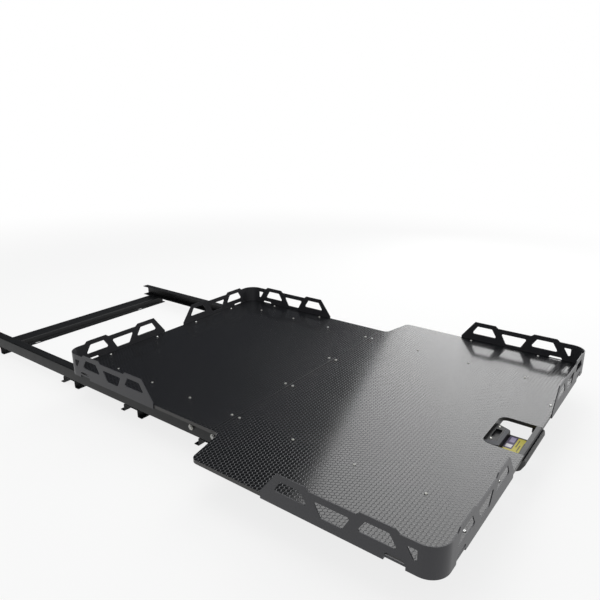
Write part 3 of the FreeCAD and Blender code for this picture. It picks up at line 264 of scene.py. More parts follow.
@dataclass(frozen=True)
class FilmFacedPlywood(Finish):
    """Birch plywood with a hot-pressed phenolic film: a hexagon grip on top, sealed plies at the edge."""

    cell_mm: float = 12.5
    ridge_depth_mm: float = 0.28
    ridge_matt: float = 0.05
    edge_ply_mm: float = 1.3
    # Colour of the raised ridges: partly their own paler tone, partly a painted highlight on them
    border: str = "#2f3034"
    ridge_foot: float = 0.39
    top_from: float = 0.7
    edge_to: float = 0.5
    edge_light: str = "#2a2724"
    edge_dark: str = "#151414"
    edge_matt: float = 0.25
    ply_share: float = 0.3
    fibre_mm: float = 4.0
    smudge_mm: float = 160.0
    smudge_layers: float = 4.0
    speckle_mm: float = 1.5
    speckle_share: float = 0.08
    swing: tuple[float, float] = (-0.03, 0.06)

    def hexagons(self, tree: bpy.types.NodeTree) -> bpy.types.NodeSocket:
        """Fold the place into hexagons and measure how near it is to a cell's border.

        Args:
            tree: The material's tree.

        Returns:
            Zero in a cell, one on its raised border.
        """
        split = add_node(tree, "ShaderNodeSeparateXYZ", links={0: self.place(tree)})
        flat = add_node(tree, "ShaderNodeCombineXYZ", links={0: split.outputs[0], 1: split.outputs[1]})
        scaled = add_node(tree, "ShaderNodeVectorMath", {"operation": "SCALE"}, {0: flat.outputs[0]},
                          Scale=1.0 / (self.cell_mm * MM))
        slant = (0.5, math.sqrt(3) / 2, 0.0)
        half = (0.5, math.sqrt(3) / 2, 0.5)
        below = tuple(-h for h in half)
        shifted = add_node(tree, "ShaderNodeVectorMath", {"operation": "SUBTRACT"}, {0: scaled.outputs[0]},
                           in1=slant)
        wrapped = [add_node(tree, "ShaderNodeVectorMath", {"operation": "WRAP"}, {0: source.outputs[0]},
                            in1=half, in2=below) for source in (scaled, shifted)]
        far = [add_node(tree, "ShaderNodeVectorMath", {"operation": "LENGTH"}, {0: w.outputs[0]}).outputs[1]
               for w in wrapped]
        second_nearer = self.math(tree, "GREATER_THAN", far[0], far[1])
        nearest = add_node(tree, "ShaderNodeMix", {"data_type": "VECTOR"},
                           {0: second_nearer, 4: wrapped[0].outputs[0], 5: wrapped[1].outputs[0]})
        folded = add_node(tree, "ShaderNodeVectorMath", {"operation": "ABSOLUTE"}, {0: nearest.outputs[1]})
        slanted = add_node(tree, "ShaderNodeVectorMath", {"operation": "DOT_PRODUCT"},
                           {0: folded.outputs[0]}, in1=slant)
        across = add_node(tree, "ShaderNodeSeparateXYZ", links={0: folded.outputs[0]}).outputs[0]
        reach = self.math(tree, "MAXIMUM", slanted.outputs[1], across)
        step = add_node(tree, "ShaderNodeMapRange", {"interpolation_type": "SMOOTHSTEP"}, {"Value": reach},
                        From_Min=self.ridge_foot, From_Max=0.5)
        return step.outputs["Result"]

    def draw(self, tree: bpy.types.NodeTree, shader: bpy.types.Node) -> None:
        """Hexagons on the top face, plies on the edges.

        Args:
            tree: The material's tree.
            shader: The shader that it feeds.
        """
        normal = add_node(tree, "ShaderNodeTexCoord").outputs["Normal"]
        up = add_node(tree, "ShaderNodeSeparateXYZ", links={0: normal}).outputs[2]
        on_top = self.math(tree, "GREATER_THAN", up, self.top_from)
        level = self.math(tree, "ABSOLUTE", up)
        on_edge = self.math(tree, "LESS_THAN", level, self.edge_to)
        borders = self.math(tree, "MULTIPLY", self.hexagons(tree), on_top)
        smudge = self.grain(tree, self.smudge_mm, self.smudge_layers)
        # The ridges take the paler colour, which is partly a painted highlight
        film = self.blend(tree, borders, self.colour, self.border)
        height = add_node(tree, "ShaderNodeSeparateXYZ", links={0: self.place(tree)}).outputs[2]
        plies = self.math(tree, "SINE",
                          self.math(tree, "MULTIPLY", height, math.pi / (self.edge_ply_mm * MM)))
        fibre = self.math(tree, "ADD", self.math(tree, "MULTIPLY", plies, self.ply_share),
                          self.grain(tree, self.fibre_mm))
        sealed = self.blend(tree, fibre, self.edge_dark, self.edge_light)
        tree.links.new(self.blend(tree, on_edge, film, sealed), shader.inputs["Base Color"])
        gloss = self.vary_gloss(tree, shader, smudge)
        gloss = self.math(tree, "ADD", gloss, self.math(tree, "MULTIPLY", on_edge, self.edge_matt))
        gloss = self.math(tree, "ADD", gloss, self.math(tree, "MULTIPLY", borders, self.ridge_matt))
        tree.links.new(gloss, shader.inputs["Roughness"])
        fine = self.math(tree, "MULTIPLY", self.grain(tree, self.speckle_mm), self.speckle_share)
        self.raise_surface(tree, shader, self.math(tree, "ADD", borders, fine), self.ridge_depth_mm)


@dataclass(frozen=True)
class PowderCoat(Finish):
    """Black polyester powder coat on folded steel: satin, with the fine orange peel of the cured film."""

    peel_mm: float = 2.2
    peel_depth_mm: float = 0.06
    cloud_mm: float = 60.0
    worn: str = "#101113"
    sheen: float = 0.3
    swing: tuple[float, float] = (-0.05, 0.07)

    def draw(self, tree: bpy.types.NodeTree, shader: bpy.types.Node) -> None:
        """Orange peel and a faint cloudiness.

        Args:
            tree: The material's tree.
            shader: The shader that it feeds.
        """
        shader.inputs["Specular IOR Level"].default_value = self.sheen
        cloud = self.grain(tree, self.cloud_mm, 3.0)
        tree.links.new(self.blend(tree, cloud, self.colour, self.worn), shader.inputs["Base Color"])
        self.vary_gloss(tree, shader, cloud)
        self.raise_surface(tree, shader, self.grain(tree, self.peel_mm), self.peel_depth_mm, 0.5)


@dataclass(frozen=True)
class ZincPlate(Finish):
    """Bright zinc plate on steel, with the faint blue and straw tints of its passivation."""

    tint: str = "#a39d86"
    tint_mm: float = 9.0
    tint_share: float = 0.6
    mark_mm: float = 3.0
    scratch_mm: float = 0.8
    scratch_depth_mm: float = 0.02

    def draw(self, tree: bpy.types.NodeTree, shader: bpy.types.Node) -> None:
        """Tints and fine handling marks.

        Args:
            tree: The material's tree.
            shader: The shader that it feeds.
        """
        patch = self.spread(tree, self.grain(tree, self.tint_mm), 0.0, self.tint_share)
        tree.links.new(self.blend(tree, patch, self.colour, self.tint), shader.inputs["Base Color"])
        self.vary_gloss(tree, shader, self.grain(tree, self.mark_mm))
        self.raise_surface(tree, shader, self.grain(tree, self.scratch_mm), self.scratch_depth_mm, 0.5)


@dataclass(frozen=True)
class GalvanisedSteel(Finish):
    """Hot-dip galvanised sheet: dull zinc in frost-like crystals."""

    spangle_mm: float = 9.0
    dark: str = "#7f858a"
    grain_mm: float = 1.2
    grain_depth_mm: float = 0.03

    def draw(self, tree: bpy.types.NodeTree, shader: bpy.types.Node) -> None:
        """Crystals that differ in tone and gloss.

        Args:
            tree: The material's tree.
            shader: The shader that it feeds.
        """
        cells = add_node(tree, "ShaderNodeTexVoronoi", links={"Vector": self.place(tree)},
                         Scale=1.0 / (self.spangle_mm * MM))
        tone = add_node(tree, "ShaderNodeSeparateColor", links={0: cells.outputs["Color"]}).outputs[0]
        tree.links.new(self.blend(tree, tone, self.dark, self.colour), shader.inputs["Base Color"])
        self.vary_gloss(tree, shader, tone)
        self.raise_surface(tree, shader, self.grain(tree, self.grain_mm), self.grain_depth_mm, 0.5)


@dataclass(frozen=True)
class TurnedSteel(Finish):
    """Turned and ground steel: bright, with fine rings about the roller's axle."""

    ring_mm: float = 0.9
    ring_depth_mm: float = 0.01
    grease: str = "#6c6a66"
    grease_mm: float = 14.0
    grease_share: float = 0.7
    mark_mm: float = 6.0

    def draw(self, tree: bpy.types.NodeTree, shader: bpy.types.Node) -> None:
        """Fine lines across the axle, and a thin film of grease.

        Args:
            tree: The material's tree.
            shader: The shader that it feeds.
        """
        along = add_node(tree, "ShaderNodeSeparateXYZ", links={0: self.place(tree)}).outputs[0]
        lines = self.math(tree, "SINE",
                          self.math(tree, "MULTIPLY", along, 2 * math.pi / (self.ring_mm * MM)))
        film = self.spread(tree, self.grain(tree, self.grease_mm), 0.0, self.grease_share)
        tree.links.new(self.blend(tree, film, self.colour, self.grease), shader.inputs["Base Color"])
        self.vary_gloss(tree, shader, self.grain(tree, self.mark_mm))
        self.raise_surface(tree, shader, lines, self.ring_depth_mm, 0.5)


@dataclass(frozen=True)
class MouldedPlastic(Finish):
    """Injection-moulded nylon or rubber: matt, with the spark-eroded grain of its mould."""

    grain_mm: float = 0.9
    depth_mm: float = 0.05
    sheen: float = 0.5
    bloom: str = "#2e2f31"
    bloom_mm: float = 22.0
    bloom_share: float = 0.5
    mark_mm: float = 8.0
    # Pale colour painted on the bevels as a highlight; empty for none
    painted_bevel_highlight: str = ""
    bevel_up: tuple[float, float] = (0.45, 0.93)
    swing: tuple[float, float] = (-0.06, 0.06)

    def draw(self, tree: bpy.types.NodeTree, shader: bpy.types.Node) -> None:
        """Mould grain, a faint bloom, and a painted highlight: the bevels are coloured paler, as if they
        caught the light.

        Args:
            tree: The material's tree.
            shader: The shader that it feeds.
        """
        shader.inputs["Specular IOR Level"].default_value = self.sheen
        bloom = self.spread(tree, self.grain(tree, self.bloom_mm, 3.0), 0.0, self.bloom_share)
        colour = self.blend(tree, bloom, self.colour, self.bloom)
        if self.painted_bevel_highlight:
            up = add_node(tree, "ShaderNodeSeparateXYZ",
                          links={0: add_node(tree, "ShaderNodeTexCoord").outputs["Normal"]}).outputs[2]
            # Faces that slant between these limits are the bevels, and they get the pale colour of the
            # painted highlight
            bevel = self.math(tree, "MULTIPLY", self.math(tree, "GREATER_THAN", up, self.bevel_up[0]),
                              self.math(tree, "LESS_THAN", up, self.bevel_up[1]))
            colour = self.blend(tree, bevel, colour, self.painted_bevel_highlight)
        tree.links.new(colour, shader.inputs["Base Color"])
        self.vary_gloss(tree, shader, self.grain(tree, self.mark_mm))
        self.raise_surface(tree, shader, self.grain(tree, self.grain_mm, 3.0), self.depth_mm, 0.6)


@dataclass(frozen=True)
class PrintedFilm(Finish):
    """Laminated vinyl label in plain fields of colour, with no words or signs on it.

    Each field is its span down the label, its span across it and its colour, all as shares.
    """

    back_y: float = -1.481
    length_mm: float = 61.0
    half_width_mm: float = 54.0
    fields: tuple[tuple[float, float, float, float, str], ...] = (
        (0.0, 0.42, -0.45, 1.0, "#35284f"), (0.06, 0.36, -0.3, 0.05, "#d9d6dc"),
        (0.1, 0.34, 0.3, 0.85, "#8f86a6"), (0.0, 1.0, 0.93, 1.0, "#1d1a1c"),
        (0.5, 0.56, -0.1, 0.7, "#5b5517"), (0.64, 0.7, -0.5, 0.2, "#5b5517"),
        (0.78, 0.84, -0.2, 0.6, "#5b5517"))
    dust: str = "#7a7466"
    dust_mm: float = 5.0
    dust_share: float = 0.12
    mark_mm: float = 10.0
    swing: tuple[float, float] = (-0.05, 0.1)

    def draw(self, tree: bpy.types.NodeTree, shader: bpy.types.Node) -> None:
        """Lay each field over the label's own colour.

        Args:
            tree: The material's tree.
            shader: The shader that it feeds.
        """
        split = add_node(tree, "ShaderNodeSeparateXYZ", links={0: self.place(tree)})
        down = self.math(tree, "MULTIPLY", self.math(tree, "SUBTRACT", self.back_y, split.outputs[1]),
                         1.0 / (self.length_mm * MM))
        across = self.math(tree, "MULTIPLY", split.outputs[0], 1.0 / (self.half_width_mm * MM))
        colour: Any = self.colour
        for top, foot, left, right, code in self.fields:
            inside = self.math(tree, "MULTIPLY", self.between(tree, down, top, foot),
                               self.between(tree, across, left, right))
            colour = self.blend(tree, inside, colour, code)
        dust = self.spread(tree, self.grain(tree, self.dust_mm), 0.0, self.dust_share)
        tree.links.new(self.blend(tree, dust, colour, self.dust), shader.inputs["Base Color"])
        self.vary_gloss(tree, shader, self.grain(tree, self.mark_mm))

    def between(self, tree: bpy.types.NodeTree, source: bpy.types.NodeSocket, low: float,
                high: float) -> bpy.types.NodeSocket:
        """One where a value lies between two limits, otherwise zero.

        Args:
            tree: The material's tree.
            source: The value.
            low: The lower limit.
            high: The upper limit.

        Returns:
            One or zero.
        """
        return self.math(tree, "MULTIPLY", self.math(tree, "GREATER_THAN", source, low),
                         self.math(tree, "LESS_THAN", source, high))


# Phenolic film pressed on birch plywood: black and glossy, with a raised hexagon grip whose ridges are
# paler, partly their own tone and partly a painted highlight
DECK_FILM = FilmFacedPlywood("phenolic_film_on_plywood", "#111213", 0.11)
# Polyester powder coat on the folded rails: near black and low in sheen, so it hardly mirrors the floor
RAIL_COAT = PowderCoat("black_powder_coat", "#08090a", 0.44, sheen=0.1)
# The same coat on the frame's sections, a little thicker and cloudier
FRAME_COAT = PowderCoat("black_powder_coat_frame", "#111213", 0.46, peel_mm=3.0)
# The same coat on the latch, smoother where hands rub it
LATCH_COAT = PowderCoat("black_powder_coat_latch", "#0e0e10", 0.38, peel_mm=1.8)
# Zinc-plated hardware: dull bright, with straw tints
SCREW_ZINC = ZincPlate("bright_zinc_plate", "#9a9da1", 0.34, 1.0)
# The rails' screws get a paler zinc than the deck's
RAIL_SCREW_ZINC = ZincPlate("bright_zinc_plate_rails", "#d3d6da", 0.34, 1.0, tint="#cfc9b2")
# Hot-dip galvanised brackets: grey crystals of differing gloss
BRACKET_ZINC = GalvanisedSteel("galvanised_steel", "#b4b9bd", 0.42, 1.0)
# Rollers turned from bar: bright rings under a thin film of grease
ROLLER_STEEL = TurnedSteel("turned_steel", "#a7a9ab", 0.3, 1.0)
# Moulded nylon with a matt mould grain: black, with a painted highlight in a pale colour along its bevels
HOUSING_NYLON = MouldedPlastic("moulded_nylon", "#0c0c0d", 0.4, sheen=0.15, painted_bevel_highlight="#77787b")
# Moulded nylon grip of the lever, a shade lighter
LEVER_NYLON = MouldedPlastic("moulded_nylon_lever", "#121213", 0.45)
# Moulded rubber of the buffers: dead matt
BUFFER_RUBBER = MouldedPlastic("black_rubber", "#0f0f10", 0.78, grain_mm=1.6, depth_mm=0.08)
# Laminated vinyl film: satin, in plain fields of colour
LABEL_FILM = PrintedFilm("plain_label_film", "#bdb230", 0.5)


# Meshes

def new_piece(name: str, mesh: bpy.types.Mesh, finish: Finish, body: str) -> bpy.types.Object:
    """Make an object that rides on a body.

    Args:
        name: The piece's name.
        mesh: Its mesh, in the part's frame.
        finish: Its finish.
        body: The body that it rides on.

    Returns:
        The piece.
    """
    piece = bpy.data.objects.new(name, mesh)
    bpy.context.scene.collection.objects.link(piece)
    mesh.materials.append(finish.material())
    mesh.shade_smooth()
    mesh.set_sharp_from_angle(angle=math.radians(SHARP_FROM_DEGREES))
    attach(piece, body)
    log.info("piece %s: %d faces", name, len(mesh.polygons))
    return piece


def clean_copy(node: str) -> bmesh.types.BMesh:
    """Copy a CAD node's mesh, with its points joined and its flat faces whole.

    Args:
        node: The CAD node.

    Returns:
        The copy, which the caller frees.
    """
    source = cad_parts[node].data
    plain = bpy.data.meshes.new(node + "_plain")
    plain.from_pydata([v.co[:] for v in source.vertices], [], [p.vertices[:] for p in source.polygons])
    work = bmesh.new()
    work.from_mesh(plain)
    bpy.data.meshes.remove(plain)
    bmesh.ops.remove_doubles(work, verts=work.verts, dist=JOIN_WITHIN)
    bmesh.ops.dissolve_limit(work, angle_limit=math.radians(FLAT_WITHIN_DEGREES), verts=work.verts,
                             edges=work.edges)
    return work


def eased(node: str, finish: Finish, body: str, width_mm: float = 0.6,
          segments: int = 2) -> bpy.types.Object:
    """Replace a CAD node by the same shape with its sharp edges eased.

    Args:
        node: The CAD node.
        finish: The finish that it gets.
        body: The body that it rides on.
        width_mm: How wide the eased edge is.
        segments: How many faces the eased edge has.

    Returns:
        The new piece.
    """
    work = clean_copy(node)
    mesh = bpy.data.meshes.new(node + "_eased")
    work.to_mesh(mesh)
    work.free()
    piece = new_piece(node + "_eased", mesh, finish, body)
    bevel = piece.modifiers.new("eased_edges", "BEVEL")
    bevel.width = width_mm * MM
    bevel.segments = segments
    bevel.limit_method = "ANGLE"
    bevel.angle_limit = math.radians(EASE_FROM_DEGREES)
    bevel.use_clamp_overlap = True
    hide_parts(node)
    return piece


def rings_mesh(name: str, rings: Sequence[Sequence[Point]],
               places: Iterable[tuple[Point, Matrix]]) -> bpy.types.Mesh:
    """Skin a row of rings, capped at both ends, once for each place.

    Args:
        name: The mesh's name.
        rings: The rings, each with the same number of points.
        places: For each copy, where it stands and how it is turned.

    Returns:
        The mesh with all the copies.
    """
    points: list[Vector] = []
    faces: list[list[int]] = []
    count = len(rings[0])
    for place, turn in places:
        base = len(points)
        for ring in rings:
            points += [turn @ Vector(p) + Vector(place) for p in ring]
        for level in range(len(rings) - 1):
            low, high = base + level * count, base + (level + 1) * count
            faces += [[low + i, low + (i + 1) % count, high + (i + 1) % count, high + i]
                      for i in range(count)]
        last = base + (len(rings) - 1) * count
        faces.append([base + i for i in reversed(range(count))])
        faces.append([last + i for i in range(count)])
    mesh = bpy.data.meshes.new(name)
    mesh.from_pydata([p[:] for p in points], [], faces)
    mesh.validate()
    return mesh


def circle_ring(radius: float, height: float, count: int = 24) -> list[Point]:
    """A round ring at a height."""
    turns = [2 * math.pi * i / count for i in range(count)]
    return [(radius * math.cos(turn), radius * math.sin(turn), height) for turn in turns]


def hexagon_ring(flat: float, height: float, count: int = 24) -> list[Point]:
    """A hexagonal ring with as many points as a round one.

    Args:
        flat: Its size across flats.
        height: Its height.
        count: How many points it has.

    Returns:
        The ring's points.
    """
    ring = []
    for i in range(count):
        turn = 2 * math.pi * i / count
        inward = (turn + math.pi / 6) % (math.pi / 3) - math.pi / 6
        reach = flat / 2 / math.cos(inward)
        ring.append((reach * math.cos(turn), reach * math.sin(turn), height))
    return ring


# Sub-assemblies

def dress(node: str, finish: Finish) -> None:
    """Give a CAD node that stays its finish.

    Args:
        node: The CAD node.
        finish: Its finish.
    """
    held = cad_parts[node].data
    held.materials.clear()
    held.materials.append(finish.material())
    log.info("node %s: %s", node, finish.name)


@dataclass
class Deck:
    """The two plywood panels."""

    panels: tuple[str, ...] = ("deck_front_panel", "deck_rear_panel")
    edge_ease_mm: float = 0.8

    def build(self) -> None:
        """Ease the panels' edges and give them their film."""
        for panel in self.panels:
            eased(panel, DECK_FILM, "tray", self.edge_ease_mm)


@dataclass
class CornerRails:
    """The four folded rails round the deck's corners."""

    rails: tuple[str, ...] = ("front_rail_left", "front_rail_right", "cab_rail_left", "cab_rail_right")
    edge_ease_mm: float = 0.5

    def build(self) -> None:
        """Ease the cut edges of the sheet and coat it."""
        for rail in self.rails:
            eased(rail, RAIL_COAT, "tray", self.edge_ease_mm)


@dataclass
class Screws:
    """Button-head screws that hold the deck and its rails."""

    seam_y: float = -0.76
    deck_top: float = 0.125
    head_radius: float = 4.6 * MM
    head_height: float = 2.4 * MM
    socket_flat: float = 3.2 * MM
    socket_depth: float = 1.6 * MM
    socket_lip: float = 0.15 * MM
    socket_foot: float = 0.3 * MM
    socket_taper: float = 0.96
    crown_turns: tuple[float, ...] = (0.25, 0.5, 0.75, 0.95)
    crown_flat: float = 0.52
    rim_share: float = 0.46
    shank_radius: float = 2.5 * MM
    shank_length: float = 20 * MM
    point_length: float = 2 * MM
    point_share: float = 0.6
    tip_radius: float = 0.2 * MM
    turn_step: float = 0.7
    runner_x: float = 0.415
    inner_x: float = 0.138
    seam_row: float = 0.016
    rear_rows: tuple[float, ...] = (0.210, 0.405, 0.600)
    front_rows: tuple[float, ...] = (-0.229, -0.441, -0.653)
    corners: tuple[tuple[float, float], ...] = ((0.660, -0.800), (0.520, 0.755))
    inset: float = 0.017
    side_leg: tuple[float, float] = (0.165, 0.437)
    cross_leg: tuple[float, float] = (0.172, 0.407)

    def head_rings(self) -> list[list[Point]]:
        """Draw one screw, from its point up over the head and down into the socket.

        Returns:
            The screw's rings.
        """
        rings = [circle_ring(self.shank_radius * self.point_share, -self.shank_length),
                 circle_ring(self.shank_radius, -self.shank_length + self.point_length),
                 circle_ring(self.shank_radius, 0.0), circle_ring(self.head_radius, 0.0)]
        for turn in self.crown_turns:
            angle = turn * math.pi / 2
            reach = self.crown_flat + (1 - self.crown_flat) * math.cos(angle)
            rings.append(circle_ring(self.head_radius * reach, self.head_height * math.sin(angle)))
        floor = self.head_height - self.socket_depth
        rings.append(circle_ring(self.head_radius * self.rim_share, self.head_height))
        rings.append(hexagon_ring(self.socket_flat, self.head_height - self.socket_lip))
        rings.append(hexagon_ring(self.socket_flat * self.socket_taper, floor))
        rings.append(circle_ring(self.tip_radius, floor - self.socket_foot))
        return rings

    def deck_places(self) -> list[Point]:
        """List where the panels are screwed down.

        Returns:
            The screws' places on the deck's top.
        """
        flat = [(side * x, end * self.seam_row) for side in (-1, 1) for x in (self.runner_x, self.inner_x)
                for end in (-1, 1)]
        flat += [(side * self.runner_x, row) for side in (-1, 1) for row in self.rear_rows + self.front_rows]
        return [(x, self.seam_y + y, self.deck_top) for x, y in flat]

    def rail_places(self) -> list[Point]:
        """List where the corner rails are screwed.

        Returns:
            The screws' places on the deck's top.
        """
        places = []
        for half, end_y in self.corners:
            back = 1 if end_y < 0 else -1
            for side in (-1, 1):
                places += [(side * (half - self.inset), end_y + back * s) for s in self.side_leg]
                places += [(side * (half - s), end_y + back * self.inset) for s in self.cross_leg]
        return [(x, self.seam_y + y, self.deck_top) for x, y in places]

    def build(self) -> None:
        """Make both sets of screws and dress the nuts."""
        for node, places, zinc in (("deck_screws", self.deck_places(), SCREW_ZINC),
                                   ("rail_screws", self.rail_places(), RAIL_SCREW_ZINC)):
            turned = [(p, Matrix.Rotation(self.turn_step * i, 3, "Z")) for i, p in enumerate(places)]
            mesh = rings_mesh(node + "_button", self.head_rings(), turned)
            piece = new_piece(node + "_button", mesh, zinc, "tray")
            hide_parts(node)
        dress("rail_nuts", SCREW_ZINC)


@dataclass
class Underframe:
    """Bearers and runners under the deck, the floor frame, its stops and its rollers."""

    tray_steel: tuple[str, ...] = ("front_bearer_1", "front_bearer_2", "front_bearer_3", "rear_bearer_1",
                                   "rear_bearer_2", "rear_bearer_3", "seam_bearer", "tray_runner_left",
                                   "tray_runner_right")
    floor_steel: tuple[str, ...] = ("base_rail_left", "base_rail_right", "front_cross_member",
                                    "middle_cross_member", "lock_cross_member", "rear_cross_member")
    brackets: tuple[str, ...] = ("stop_brackets", "stop_lugs", "striker_lugs")
    axles: tuple[str, ...] = ("base_axle_bolts", "base_axle_spacers", "base_axle_nuts", "tray_axle_bolts",
                              "tray_axle_spacers", "tray_axle_nuts")
    edge_ease_mm: float = 0.5

    def build(self) -> None:
        """Dress the frame, its axles and its rollers."""
        for node in self.tray_steel:
            eased(node, FRAME_COAT, "tray", self.edge_ease_mm)
        for node in self.floor_steel:
            eased(node, FRAME_COAT, "floor_frame", self.edge_ease_mm)
        for node in self.brackets:
            dress(node, BRACKET_ZINC)
        for node in self.axles:
            dress(node, SCREW_ZINC)
        dress("bearer_end_caps", HOUSING_NYLON)
        dress("stop_buffers", BUFFER_RUBBER)
        for owner in ("base", "tray"):
            for side in ("left", "right"):
                for order in ("front", "back"):
                    node = f"{owner}_roller_{side}_{order}"
                    eased(node, ROLLER_STEEL, node + "_body", self.edge_ease_mm)


@dataclass
class Latch:
    """The hand notch's latch plate, housing and handle, and the lock that they work."""

    plate_ease_mm: float = 0.4
    housing_ease_mm: float = 1.2
    handle_ease_mm: float = 0.8
    lever_ease_mm: float = 1.0
    lock_ease_mm: float = 0.5
    round_segments: int = 3
    hardware: tuple[str, ...] = ("housing_screws", "lock_spring", "lever_pin", "pawl_pin", "rod_pin_front",
                                 "rod_pin_back")

    def build(self) -> None:
        """Ease and dress the latch pieces."""
        coat, rounds = Slot.POWDER_COAT.value, self.round_segments
        eased("latch_plate", LATCH_COAT, "tray", self.plate_ease_mm)
        eased("latch_housing", HOUSING_NYLON, "tray", self.housing_ease_mm, rounds)
        eased("pull_handle", LATCH_COAT, "tray", self.handle_ease_mm, rounds)
        eased("release_lever", LEVER_NYLON, "lever", self.lever_ease_mm, rounds)
        for node in self.hardware:
            dress(node, SCREW_ZINC)
        dress("latch_label", LABEL_FILM)
        dress("rod_guides", HOUSING_NYLON)
        for node, body in (("pawl_bracket", "tray"), ("pull_rod", "rod"), ("lock_pawl", "pawl")):
            eased(node, BRACKET_ZINC, body, self.lock_ease_mm)


@dataclass(frozen=True)
class SoftBox:
    """A rectangular soft lamp."""

    name: str
    place: Point
    aim: Point
    width: float
    height: float
    watts: float
    roll_degrees: float = 0.0

    def build(self) -> None:
        """Hang the lamp and turn it to its aim."""
        data = bpy.data.lights.new(self.name, "AREA")
        data.shape = "RECTANGLE"
        data.size = self.width
        data.size_y = self.height
        data.energy = self.watts
        lamp = bpy.data.objects.new(self.name, data)
        look = (Vector(self.aim) - Vector(self.place)).to_track_quat("-Z", "Y").to_matrix()
        turn = look @ Matrix.Rotation(math.radians(self.roll_degrees), 3, "Z")
        lamp.matrix_world = Matrix.Translation(self.place) @ turn.to_4x4()
        bpy.context.scene.collection.objects.link(lamp)


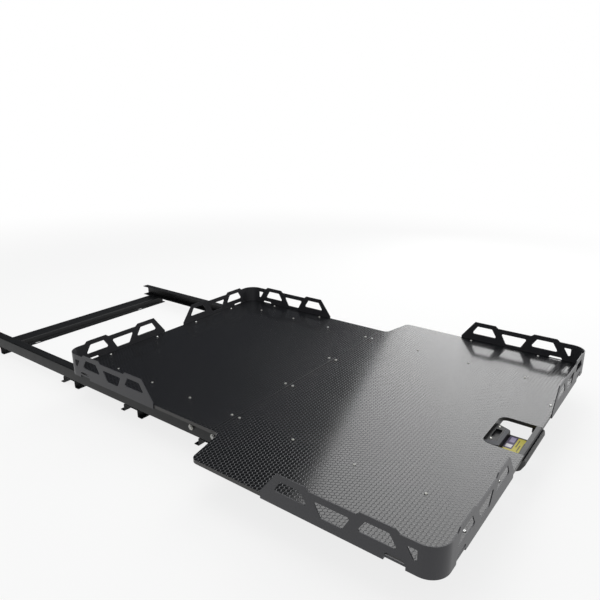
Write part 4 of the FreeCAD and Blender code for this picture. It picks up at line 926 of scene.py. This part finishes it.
@dataclass
class Studio:
    """A pale floor, a white surround, soft lamps and the camera."""

    camera_place: Point = (-1.5897, -1.8980, 1.0457)
    yaw_degrees: float = 53.132
    pitch_degrees: float = 18.1735
    roll_degrees: float = -0.1678
    lens_mm: float = 34.577
    sensor_mm: float = 36.0
    near_and_far: tuple[float, float] = (0.05, 200.0)
    floor_radius: float = 40.0
    floor_sides: int = 96
    floor_paint: str = "#eeeeec"
    fade_start: float = 1.8
    fade_end: float = 4.5
    floor_white: float = 0.8
    flag_facing: Point = (-0.290, 0.878, -0.380)
    flag_blur: float = 0.02
    flag_shade: str = "#46474b"
    surround_light: Rgba = (0.96, 0.98, 1.0, 1.0)
    surround_strength: float = 0.45
    lamps: tuple[SoftBox, ...] = (
        SoftBox("overhead", (-0.3, 0.0, 3.6), (0.0, -0.4, 0.0), 3.0, 3.0, 42.0),
        SoftBox("near_side", (-3.2, -2.6, 2.2), (0.0, -0.7, 0.1), 2.2, 2.2, 12.0),
        SoftBox("far_side", (2.507, -0.500, 1.929), (-0.243, -1.710, 0.338), 2.0, 3.0, 50.0, -22.5))

    def build_camera(self) -> None:
        """Stand the camera where the photograph was taken from."""
        angles = (self.yaw_degrees, self.pitch_degrees, self.roll_degrees)
        yaw, pitch, roll = (math.radians(angle) for angle in angles)
        ahead = Vector((math.sin(yaw) * math.cos(pitch), math.cos(yaw) * math.cos(pitch), -math.sin(pitch)))
        right = Vector((math.cos(yaw), -math.sin(yaw), 0.0))
        up = right.cross(ahead)
        across = math.cos(roll) * right + math.sin(roll) * up
        upright = -math.sin(roll) * right + math.cos(roll) * up
        data = bpy.data.cameras.new("camera")
        data.sensor_width = self.sensor_mm
        data.lens = self.lens_mm
        data.clip_start, data.clip_end = self.near_and_far
        camera = bpy.data.objects.new("camera", data)
        turn = Matrix((across, upright, -ahead)).transposed().to_4x4()
        camera.matrix_world = Matrix.Translation(self.camera_place) @ turn
        bpy.context.scene.collection.objects.link(camera)
        bpy.context.scene.camera = camera

    def build_floor(self) -> None:
        """A round pale floor that fades to white."""
        work = bmesh.new()
        bmesh.ops.create_circle(work, cap_ends=True, radius=self.floor_radius,
                                segments=self.floor_sides)
        mesh = bpy.data.meshes.new("studio_floor")
        work.to_mesh(mesh)
        work.free()
        floor = bpy.data.objects.new("studio_floor", mesh)
        bpy.context.scene.collection.objects.link(floor)
        made = bpy.data.materials.new("pale_studio_floor")
        made.use_nodes = True
        tree = made.node_tree
        tree.nodes.clear()
        paint = add_node(tree, "ShaderNodeBsdfPrincipled", Base_Color=linear(self.floor_paint),
                         Roughness=0.9, Specular_IOR_Level=0.1)
        glow = add_node(tree, "ShaderNodeEmission", Color=WHITE, Strength=1.0)
        place = add_node(tree, "ShaderNodeTexCoord").outputs["Object"]
        far = add_node(tree, "ShaderNodeVectorMath", {"operation": "LENGTH"}, {0: place}).outputs[1]
        fade = add_node(tree, "ShaderNodeMapRange", {"interpolation_type": "SMOOTHSTEP"}, {"Value": far},
                        From_Min=self.fade_start, From_Max=self.fade_end, To_Min=self.floor_white)
        path = add_node(tree, "ShaderNodeLightPath")
        seen = add_node(tree, "ShaderNodeMath", {"operation": "MAXIMUM"},
                        {0: path.outputs["Is Camera Ray"], 1: path.outputs["Is Glossy Ray"]})
        share = add_node(tree, "ShaderNodeMath", {"operation": "MULTIPLY"},
                         {0: seen.outputs[0], 1: fade.outputs["Result"]})
        mixed = add_node(tree, "ShaderNodeMixShader",
                         links={0: share.outputs[0], 1: paint.outputs[0], 2: glow.outputs[0]})
        add_node(tree, "ShaderNodeOutputMaterial", links={"Surface": mixed.outputs[0]})
        mesh.materials.append(made)

    def build_world(self) -> None:
        """A white surround to look at, with a dark flag to the cab in reflections, and a softer light."""
        world = bpy.data.worlds.new("surround")
        bpy.context.scene.world = world
        world.use_nodes = True
        tree = world.node_tree
        tree.nodes.clear()
        path = add_node(tree, "ShaderNodeLightPath")
        seen = add_node(tree, "ShaderNodeMath", {"operation": "MAXIMUM"},
                        {0: path.outputs["Is Camera Ray"], 1: path.outputs["Is Transmission Ray"]})
        looked = add_node(tree, "ShaderNodeMath", {"operation": "MAXIMUM"},
                          {0: seen.outputs[0], 1: path.outputs["Is Glossy Ray"]})
        light = add_node(tree, "ShaderNodeBackground", Color=self.surround_light,
                         Strength=self.surround_strength)
        place = add_node(tree, "ShaderNodeTexCoord").outputs["Generated"]
        ahead = add_node(tree, "ShaderNodeVectorMath", {"operation": "DOT_PRODUCT"}, {0: place},
                         in1=self.flag_facing)
        flag = add_node(tree, "ShaderNodeMapRange", {"interpolation_type": "SMOOTHSTEP"},
                        {"Value": ahead.outputs[1]}, From_Min=-self.flag_blur, From_Max=self.flag_blur)
        flagged = add_node(tree, "ShaderNodeMath", {"operation": "MULTIPLY"},
                           {0: path.outputs["Is Glossy Ray"], 1: flag.outputs["Result"]})
        shown = add_node(tree, "ShaderNodeMix", {"data_type": "RGBA"}, {0: flagged.outputs[0]},
                         in6=WHITE, in7=linear(self.flag_shade))
        white = add_node(tree, "ShaderNodeBackground", links={"Color": shown.outputs[2]}, Strength=1.0)
        mixed = add_node(tree, "ShaderNodeMixShader",
                         links={0: looked.outputs[0], 1: light.outputs[0], 2: white.outputs[0]})
        add_node(tree, "ShaderNodeOutputWorld", links={"Surface": mixed.outputs[0]})

    def build(self) -> None:
        """Set up everything around the object."""
        bpy.context.scene.view_settings.view_transform = "Standard"
        self.build_camera()
        self.build_floor()
        self.build_world()
        for lamp in self.lamps:
            lamp.build()


def main() -> None:
    """Build every sub-assembly."""
    logging.basicConfig(level=logging.INFO, format="%(name)s: %(message)s")
    for part in (Deck(), CornerRails(), Screws(), Underframe(), Latch(), Studio()):
        log.info("building %s", type(part).__name__)
        part.build()


if __name__ == "__main__":
    main()
